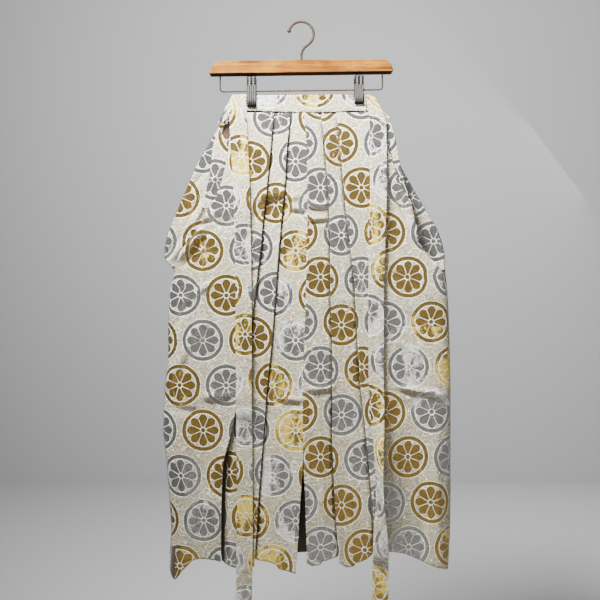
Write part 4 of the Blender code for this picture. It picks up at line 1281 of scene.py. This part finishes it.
def strap_stations(side):
    """The whole strap: its end behind, the turn over the band, and the long hang."""
    s, made, shift = SIDES[side], ear_stations(side), STRAP_SHIFT[side]
    rows = STRAP_ROWS[side]
    _, outer, inner, _ = rows[0]
    x = s * (outer + inner) / 2
    for angle in np.radians(np.linspace(0, 180, 9)):
        y = WAISTBAND_Y - STRAP_TURN / 2 * (1 - math.cos(angle))
        z = -WAIST_TOP - STRAP / 2 - 0.5 + STRAP_TURN / 2 * math.sin(angle)
        made.append(flat_station((x, y, z), outer - inner, x + shift[0], shift[1]))
    downs = np.arange(4.0, rows[-1].down, 5.0)
    outer, inner = (eased_at(rows, column, downs, 3) for column in ("outer", "inner"))
    angle = np.radians(eased_at(rows, "turn", downs, 4))
    close = CLOTH / 2 + STRAP / 2 + STRAP_CLEAR
    clear = close + STRAP_STANDS[side] * ramp(downs, start=60, over=160)
    y = nearest_face("front_panel_cloth_" + side, s * outer, s * inner, downs, -1)
    y = np.minimum(y, WAISTBAND_Y - STRAP_TURN + close) - clear
    y = np.minimum(eased(y, 4), y + 0.3) - np.sin(angle) * (outer - inner) / 2
    for down, far, near, lean, depth in zip(downs, outer, inner, angle, y):
        middle = (s * (far + near) / 2, depth, -WAIST_TOP - down)
        made.append(flat_station(middle, far - near, s * HANG_ACROSS + shift[0],
                                 shift[1] + down, (math.cos(lean), -math.sin(lean), 0)))
    return made


for side in SIDES:
    # the straps take the finish with more of its foil painted lit, as painted highlight
    band("front_strap_cloth_" + side, strap_stations(side), STRAP,
                                   seed=20.0 + SIDES[side], uneven=0.5, finish=PAINTED_LIT_SILK)
    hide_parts("front_strap_" + side)

# %% back straps
BACK_STRAP_TOP = 40.0
BACK_STRAP_LONG = 850.0
BACK_STRAP_WIDE = 30.0
BACK_STRAP_OUT = {"left": (132, 118), "right": (142, 128)}      # at its top and its end
BACK_STRAP_SHIFT = (9, 30)
for side, s in SIDES.items():
    downs = np.arange(BACK_STRAP_TOP, BACK_STRAP_TOP + BACK_STRAP_LONG + 1, 5.0)
    share = (downs - BACK_STRAP_TOP) / BACK_STRAP_LONG
    top_out, end_out = BACK_STRAP_OUT[side]
    x = s * (top_out + (end_out - top_out) * share)
    half_wide = BACK_STRAP_WIDE / 2
    y = nearest_face("back_panel_cloth_" + side, x - half_wide, x + half_wide, downs, 1)
    y = np.maximum(eased(y, 4), y - 0.3) + CLOTH / 2 + STRAP / 2 + STRAP_CLEAR
    stations = [flat_station((px, py, -WAIST_TOP - d), BACK_STRAP_WIDE,
                             s * BACK_STRAP_SHIFT[0], d + BACK_STRAP_SHIFT[1])
                for px, py, d in zip(x, y, downs)]
    band("back_strap_cloth_" + side, stations, STRAP,
                                  seed=30.0 + s, uneven=0.5)
    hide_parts("back_strap_" + side)

# %% [markdown]
# ## The hanger
#
# The bar is a planed batten with rounded arrises and cut-back upper corners. The hook is one
# bent wire with an upset ball at its tip. The whole hanger tilts by less than a degree, because
# the trousers pull harder on one clip, so the points of its hook, rail and bar are turned by that
# tilt, and the clips sit at the tilted rail's height.

# %% hook, rail and bar
HANGER_TILT = 0.75
HOOK_WIRE = 5.1
HOOK_RADIUS = 24.75
BAR_TOP = -76.0
BAR_BOTTOM = -101.5
BAR_DEPTH = 24.0
RAIL_WIRE = 3.0
RAIL_LEVEL = -134.3
RAIL_ENDS = (-161.5, 159.5)
RAIL_CORNER = 7.0
BALL_AT = 165.5             # the ball at the hook's tip: its place in degrees round the hook,
BALL_HALF = 7.5             # half its length in degrees,
BALL_SWELL = 1.6            # its girth beside the wire's,
BALL_TIP = 0.15             # and its girth at the very tip
HOOK_TIP = 172.9            # where the hook begins, in degrees round it
HOOK_END = -52              # and where its round part ends
NECK_TOP = -54              # the corner where it bends into the neck
NECK_REACH = 11
WIRE_SIDES = 20
TILT = math.radians(HANGER_TILT)
SLOTS = {BEECH.name: "hanger_beech", RUBBER.name: "clip_rubber", NICKEL.name: "hanger_steel",
         WIRE_STEEL.name: "hanger_steel", PLATE_STEEL.name: "hanger_steel"}


def tilted(x, y, z):
    """A point of the level hanger, in millimetres, as it hangs."""
    return (x * math.cos(TILT) - z * math.sin(TILT), y, x * math.sin(TILT) + z * math.cos(TILT))


def tube(name, points, radii, finish, sides=WIRE_SIDES):
    """A round wire through points, in millimetres, with its own radius at each."""
    points = [Vector(p) for p in points]
    shape = bmesh.new()
    rings = []
    normal = Vector((0, 1, 0))
    for i, (here, radius) in enumerate(zip(points, radii)):
        along = (points[min(i + 1, len(points) - 1)] - points[max(i - 1, 0)]).normalized()
        normal = (normal - along * normal.dot(along)).normalized()
        other = along.cross(normal)
        turns = [2 * math.pi * k / sides for k in range(sides)]
        rings.append([shape.verts.new((here + (normal * math.cos(a) + other * math.sin(a))
                                       * radius) * MM) for a in turns])
    for a, b in zip(rings, rings[1:]):
        for k in range(sides):
            shape.faces.new((a[k], a[(k + 1) % sides], b[(k + 1) % sides], b[k]))
    shape.faces.new(rings[0][::-1])
    shape.faces.new(rings[-1])
    bmesh.ops.recalc_face_normals(shape, faces=shape.faces)
    return settled(name, shape, finish)


def settled(name, shape, finish, angle=40):
    """Turns a bmesh in metres into an object, smooth but for edges sharper than the angle."""
    mesh = bpy.data.meshes.new(name)
    shape.to_mesh(mesh)
    shape.free()
    mesh.materials.append(finish)
    mesh.shade_smooth()
    mesh.set_sharp_from_angle(angle=math.radians(angle))
    return placed(name, mesh, SLOTS[finish.name])


def prism(shape, front, back):
    """Closes a solid between two like outlines, in millimetres, and gives its side faces."""
    a, b = ([shape.verts.new(Vector(p) * MM) for p in outline] for outline in (front, back))
    shape.faces.new(a)
    shape.faces.new(b[::-1])
    sides = []
    for k in range(len(a)):
        n = (k + 1) % len(a)
        sides.append(shape.faces.new((a[n], a[k], b[k], b[n])))
    bmesh.ops.recalc_face_normals(shape, faces=shape.faces)
    return sides


def rounded(made, width, segments, **settings):
    """Bevels an object's edges by a width in millimetres."""
    soft = made.modifiers.new("rounded edges", "BEVEL")
    soft.width = width * MM
    soft.segments = segments
    for name, value in settings.items():
        setattr(soft, name, value)


def bent(corners, reach, steps=9):
    """A polyline with its corners turned into arcs."""
    points = [Vector(corners[0])]
    for before, here, after in zip(corners, corners[1:], corners[2:]):
        here = Vector(here)
        a = here + (Vector(before) - here).normalized() * reach
        b = here + (Vector(after) - here).normalized() * reach
        points += [a * (1 - t) ** 2 + here * 2 * t * (1 - t) + b * t * t
                   for t in np.linspace(0, 1, steps)]
    return points + [Vector(corners[-1])]


def girth(angle):
    """The hook's girth beside the plain wire's, at an angle round it in degrees."""
    ball = BALL_SWELL * math.sqrt(max(0.0, 1 - ((angle - BALL_AT) / BALL_HALF) ** 2))
    return max(ball, 1.0 if angle < BALL_AT else BALL_TIP)


hook_z = HOOK_WIRE / 2 - HOOK_RADIUS
angles = [*np.linspace(HOOK_TIP, 160, 12), *np.linspace(157, HOOK_END, 60)]
arc = [(HOOK_RADIUS * math.cos(math.radians(a)), 0,
        hook_z + HOOK_RADIUS * math.sin(math.radians(a))) for a in angles]
neck = bent([arc[-1], (0, 0, NECK_TOP), (0, 0, BAR_TOP + SEAM)], NECK_REACH, 14)[1:]
radii = [girth(a) * HOOK_WIRE / 2 for a in angles] + [HOOK_WIRE / 2] * len(neck)
hook = tube("hook_wire", [tilted(*p) for p in arc + neck], radii, WIRE_STEEL)
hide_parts("hanger_hook")

left, right = RAIL_ENDS
top = BAR_BOTTOM - SEAM
rail_points = bent([(left, 0, top), (left, 0, RAIL_LEVEL), (right, 0, RAIL_LEVEL),
                    (right, 0, top)], RAIL_CORNER)
rail = tube("rail_wire", [tilted(*p) for p in rail_points], [RAIL_WIRE / 2] * len(rail_points),
            WIRE_STEEL)
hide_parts("clip_rail")
print("hook and rail:", len(hook.data.vertices), len(rail.data.vertices))

# %% bar
ARRIS = 2.6
ARRIS_STEPS = 5
ARRIS_FROM = 40             # degrees: an edge this sharp is rounded
BAR_TALL = BAR_TOP - BAR_BOTTOM
BarCorner = namedtuple("BarCorner", "x share")      # share of the height, from the underside
BAR_OUTLINE = rows_of(
    BarCorner,
    (-180, 0.0), (178, 0.0), (181, 0.11), (180, 0.25), (176, 0.57), (171, 0.81), (165, 0.94),
    (158, 1.0), (-158, 1.0), (-165, 0.94), (-171, 0.80), (-177, 0.50), (-182, 0.16), (-183, 0.07))
BAR_CORNERS = [(c.x, BAR_BOTTOM + c.share * BAR_TALL) for c in BAR_OUTLINE]
shape = bmesh.new()
bar_front, bar_back = ([tilted(x, depth, z) for x, z in BAR_CORNERS]
                       for depth in (-BAR_DEPTH / 2, BAR_DEPTH / 2))
underside = prism(shape, bar_front, bar_back)[0]
# the underside takes the beech painted dark, as shade
underside.material_index = 1
bar = settled("bar_beech", shape, BEECH, angle=60)
rounded(bar, ARRIS, ARRIS_STEPS, limit_method="ANGLE", angle_limit=math.radians(ARRIS_FROM))
bar.data.materials.append(BEECH_SHADED_BELOW)
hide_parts("hanger_bar")
bar_wide = max(c.x for c in BAR_OUTLINE) - min(c.x for c in BAR_OUTLINE)
print("bar:", bar_wide, "by", BAR_TALL, "mm")

# %% [markdown]
# Each clip is two pressed levers that rock on the rail. The grip end has two columns of studs, so
# that a thumb doesn't slip, and the rest is ribbed along its length to stiffen it. Rubber boots on
# the tips hold the cloth: a boot's tall wall grips it, and a low lip stands before the lever. A
# coil spring round the rail, between the levers, shuts them.

# %% clips
CLIP_WIDE = 18.0
CLIP_PLATE = 1.0
CLIP_X = {"left": -97.5, "right": 114.5}
CLIP_TOP = {"left": -109.0, "right": -107.0}
CLIP_FOOT = {"left": -167.0, "right": -161.5}
BOOT_TALL = 8.5             # the boot's wall that grips the cloth
BOOT_LIP = 3.2              # and its wall before the lever
BOOT_FLOOR = 1.0            # under the lever's tip
BOOT_SLOT = 1.6             # the room for the lever
BOOT_THICK = 1.0            # the lip's thickness
BOOT_ROUND = 0.35           # its moulded edges' radius
BOOT_SHY = 0.2              # how much narrower than the plate it is at each side
SLEEVE_OUT = 4.0
PAD = 1.4                   # the thickness of the wall that grips
SHEET = 0.6                 # the pressed steel's thickness
FLANGE = 1.8
RIBS = 4
RIB_PITCH = 4.2
RIB_WIDE = 2.9
RIB_RISE = 0.9
GRIP_TALL = 17.0
STUD_ROWS = 4
STUD_PITCH = 4.1            # from row to row
STUD_COLUMNS = 2
STUD_APART = 7.6            # between the columns
STUD_FIRST = 2.6            # the first row below the grip's top
STUD_RADIUS = 1.8
STUD_HEIGHT = 1.1
STUD_SIDES = 12
COIL_TURNS = 8
COIL_LONG = 12.0
COIL_RADIUS = 2.9
COIL_WIRE = 0.65            # the radius of its wire


def lever_path(d, top, rail_z, foot, plate_y):
    """The lever's line of (y, z) points, on the side d of the rail."""
    at_rail = d * (SLEEVE_OUT + SEAM + CLIP_PLATE / 2)
    corners = [(0, d * 12.0, top), (0, d * 9.0, top - 9), (0, at_rail + d * 1.2, rail_z + 9),
               (0, at_rail, rail_z + 3), (0, at_rail, rail_z - 3), (0, plate_y, rail_z - 10),
               (0, plate_y, foot)]
    return [(p.y, p.z) for p in bent(corners, 1.8, 4)]


def lever(name, x, path, d):
    """A pressed lever: a ribbed plate, plain at its grip, and a turned-in flange each side."""
    shape = bmesh.new()
    half_wide = CLIP_WIDE / 2
    columns = [(-half_wide, -FLANGE), (-half_wide, 0.0)]
    for k in range(RIBS):
        middle = (k - (RIBS - 1) / 2) * RIB_PITCH
        for across, lift in ((-1, 0), (-0.7, 1), (0.7, 1), (1, 0)):
            columns.append((middle + across * RIB_WIDE / 2, float(lift)))
    columns += [(half_wide, 0.0), (half_wide, -FLANGE)]
    lines = []
    for i, (y, z) in enumerate(path):
        before, after = Vector(path[max(i - 1, 0)]), Vector(path[min(i + 1, len(path) - 1)])
        along = (after - before).normalized()
        out = Vector((along.y, -along.x)) * (-1 if along.y * d > 0 else 1)
        if out.x * d < 0:
            out = -out
        ribbed = z < path[0][1] - GRIP_TALL
        row = []
        for cx, lift in columns:
            rise = lift if lift < 0 else RIB_RISE * lift * ribbed
            row.append(shape.verts.new(Vector((x + cx, y + out.x * rise, z + out.y * rise))
                                       * MM))
        lines.append((row, ribbed))
    for (a, _), (b, ribbed) in zip(lines, lines[1:]):
        for k in range(len(columns) - 1):
            face = shape.faces.new((a[k], a[k + 1], b[k + 1], b[k]))
            crest = columns[k][1] + columns[k + 1][1] > 0
            # faces off the rib crests take the steel painted dark, as shade
            face.material_index = 0 if crest and ribbed else 1
    bmesh.ops.recalc_face_normals(shape, faces=shape.faces)
    made = settled(name, shape, PLATE_STEEL, angle=35)
    made.data.materials.append(SHADED_GROOVE_STEEL)
    plate = made.modifiers.new("sheet steel", "SOLIDIFY")
    plate.thickness = SHEET * MM
    plate.offset = 0
    return made


def stud(shape, centre, d):
    """A low round stud that faces the side d."""
    rings = []
    for share in (0.0, 0.45, 0.8):
        wide = STUD_RADIUS * math.cos(share * math.pi / 2)
        rise = d * STUD_HEIGHT * math.sin(share * math.pi / 2)
        turns = np.linspace(0, 2 * math.pi, STUD_SIDES, endpoint=False)
        spots = [Vector((wide * math.cos(a), rise, wide * math.sin(a))) for a in turns]
        rings.append([shape.verts.new((centre + spot) * MM) for spot in spots])
    crown = shape.verts.new((centre + Vector((0, d * STUD_HEIGHT, 0))) * MM)
    around = [(k, (k + 1) % STUD_SIDES) for k in range(STUD_SIDES)]
    for a, b in zip(rings, rings[1:]):
        for k, n in around:
            shape.faces.new((a[k], a[n], b[n], b[k]))
    for k, n in around:
        shape.faces.new((rings[-1][k], rings[-1][n], crown))


print("clip plates:", CLIP_WIDE, "mm wide")

# %% clips made
def studs(name, x, path, d):
    """The grip's studs, in rows on the lever's leaning top."""
    shape = bmesh.new()
    top_z = path[0][1]
    for r in range(STUD_ROWS):
        z = top_z - STUD_FIRST - r * STUD_PITCH
        y = float(np.interp(-z, [-p[1] for p in path], [p[0] for p in path]))
        for c in range(STUD_COLUMNS):
            across = (c - (STUD_COLUMNS - 1) / 2) * STUD_APART
            stud(shape, Vector((x + across, y + d * SHEET / 2, z)), d)
    bmesh.ops.recalc_face_normals(shape, faces=shape.faces)
    return settled(name, shape, NICKEL, angle=60)


def boot(name, x, face, d, foot):
    """The rubber boot on a lever's tip: a U round the plate."""
    shape = bmesh.new()
    near = face + d * SEAM
    grip, slot, lip = (near + d * reach for reach in (
        PAD, PAD + BOOT_SLOT, PAD + BOOT_SLOT + BOOT_THICK))
    floor, high, low = foot + BOOT_FLOOR, foot + BOOT_TALL, foot + BOOT_LIP
    outline = [(near, foot), (lip, foot), (lip, low), (slot, low), (slot, floor), (grip, floor),
               (grip, high), (near, high)]
    half_wide = CLIP_WIDE / 2 - BOOT_SHY
    prism(shape, *([(end, y, z) for y, z in outline] for end in (x - half_wide, x + half_wide)))
    made = settled(name, shape, RUBBER, angle=60)
    rounded(made, BOOT_ROUND, 2)
    return made


def coil(name, x, z):
    """The spring round the rail, as turns of fine wire."""
    points = []
    for t in np.linspace(0, 1, COIL_TURNS * 16 + 1):
        a = 2 * math.pi * COIL_TURNS * t
        points.append((x - COIL_LONG / 2 + COIL_LONG * t, COIL_RADIUS * math.cos(a),
                       z + COIL_RADIUS * math.sin(a)))
    return tube(name, points, [COIL_WIRE] * len(points), NICKEL, 8)


clip_pieces = []
for side, x in CLIP_X.items():
    top, foot = CLIP_TOP[side], CLIP_FOOT[side]
    rail_z = RAIL_LEVEL + x * math.tan(TILT)
    for face_name, face, d in (("front", WAISTBAND_Y - WAISTBAND / 2, -1),
                               ("back", BOARD_ROWS[0].y + BOARD / 2, 1)):
        plate_y = face + d * (SEAM + PAD + 0.8)
        path = lever_path(d, top, rail_z, foot + 1.8, plate_y)
        plate = lever(f"clip_{side}_{face_name}_plate", x, path, d)
        grip = studs(f"clip_{side}_{face_name}_studs", x, path, d)
        tip = boot(f"clip_{side}_{face_name}_boot", x, face, d, foot)
        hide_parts(f"clip_{side}_{face_name}_lever")
        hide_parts(f"clip_{side}_{face_name}_pad")
        clip_pieces += [plate, grip, tip]
    spring = coil(f"clip_{side}_coil", x, rail_z)
    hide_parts(f"clip_{side}_spring")
    clip_pieces.append(spring)
print("clip pieces:", len(clip_pieces))

# %% [markdown]
# ## What each sheet was cut to
#
# Each sheet of cloth prints its flat size; what it hangs from is worked out, but not kept. A band
# is doubled, so its size here is the folded one, and a panel's width is measured round all of its
# pleats.

# %% sheets
def carriers(name):
    """The nodes that a sheet of cloth hangs from."""
    if name == "gusset_cloth":
        return ["front_gore", "back_gore"]
    if name == "waistband_cloth":
        return ["clip_left_front_pad", "clip_right_front_pad"]
    return ["back_board"] if name.startswith("back") else ["front_waistband"]


for name, (width, length) in cuts.items():
    if name != "back_board_cloth":
        carriers(name)
        print(name, "is cut", round(width), "by", round(length), "mm")

# %% [markdown]
# ## Size and finish
#
# The dressed model should fill the same box as the solids, so both boxes are printed.

# %% finish
for name, low, high in (("cad", *cad_box), ("visual", *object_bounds())):
    print(name, [round(v, 4) for v in low], [round(v, 4) for v in high])
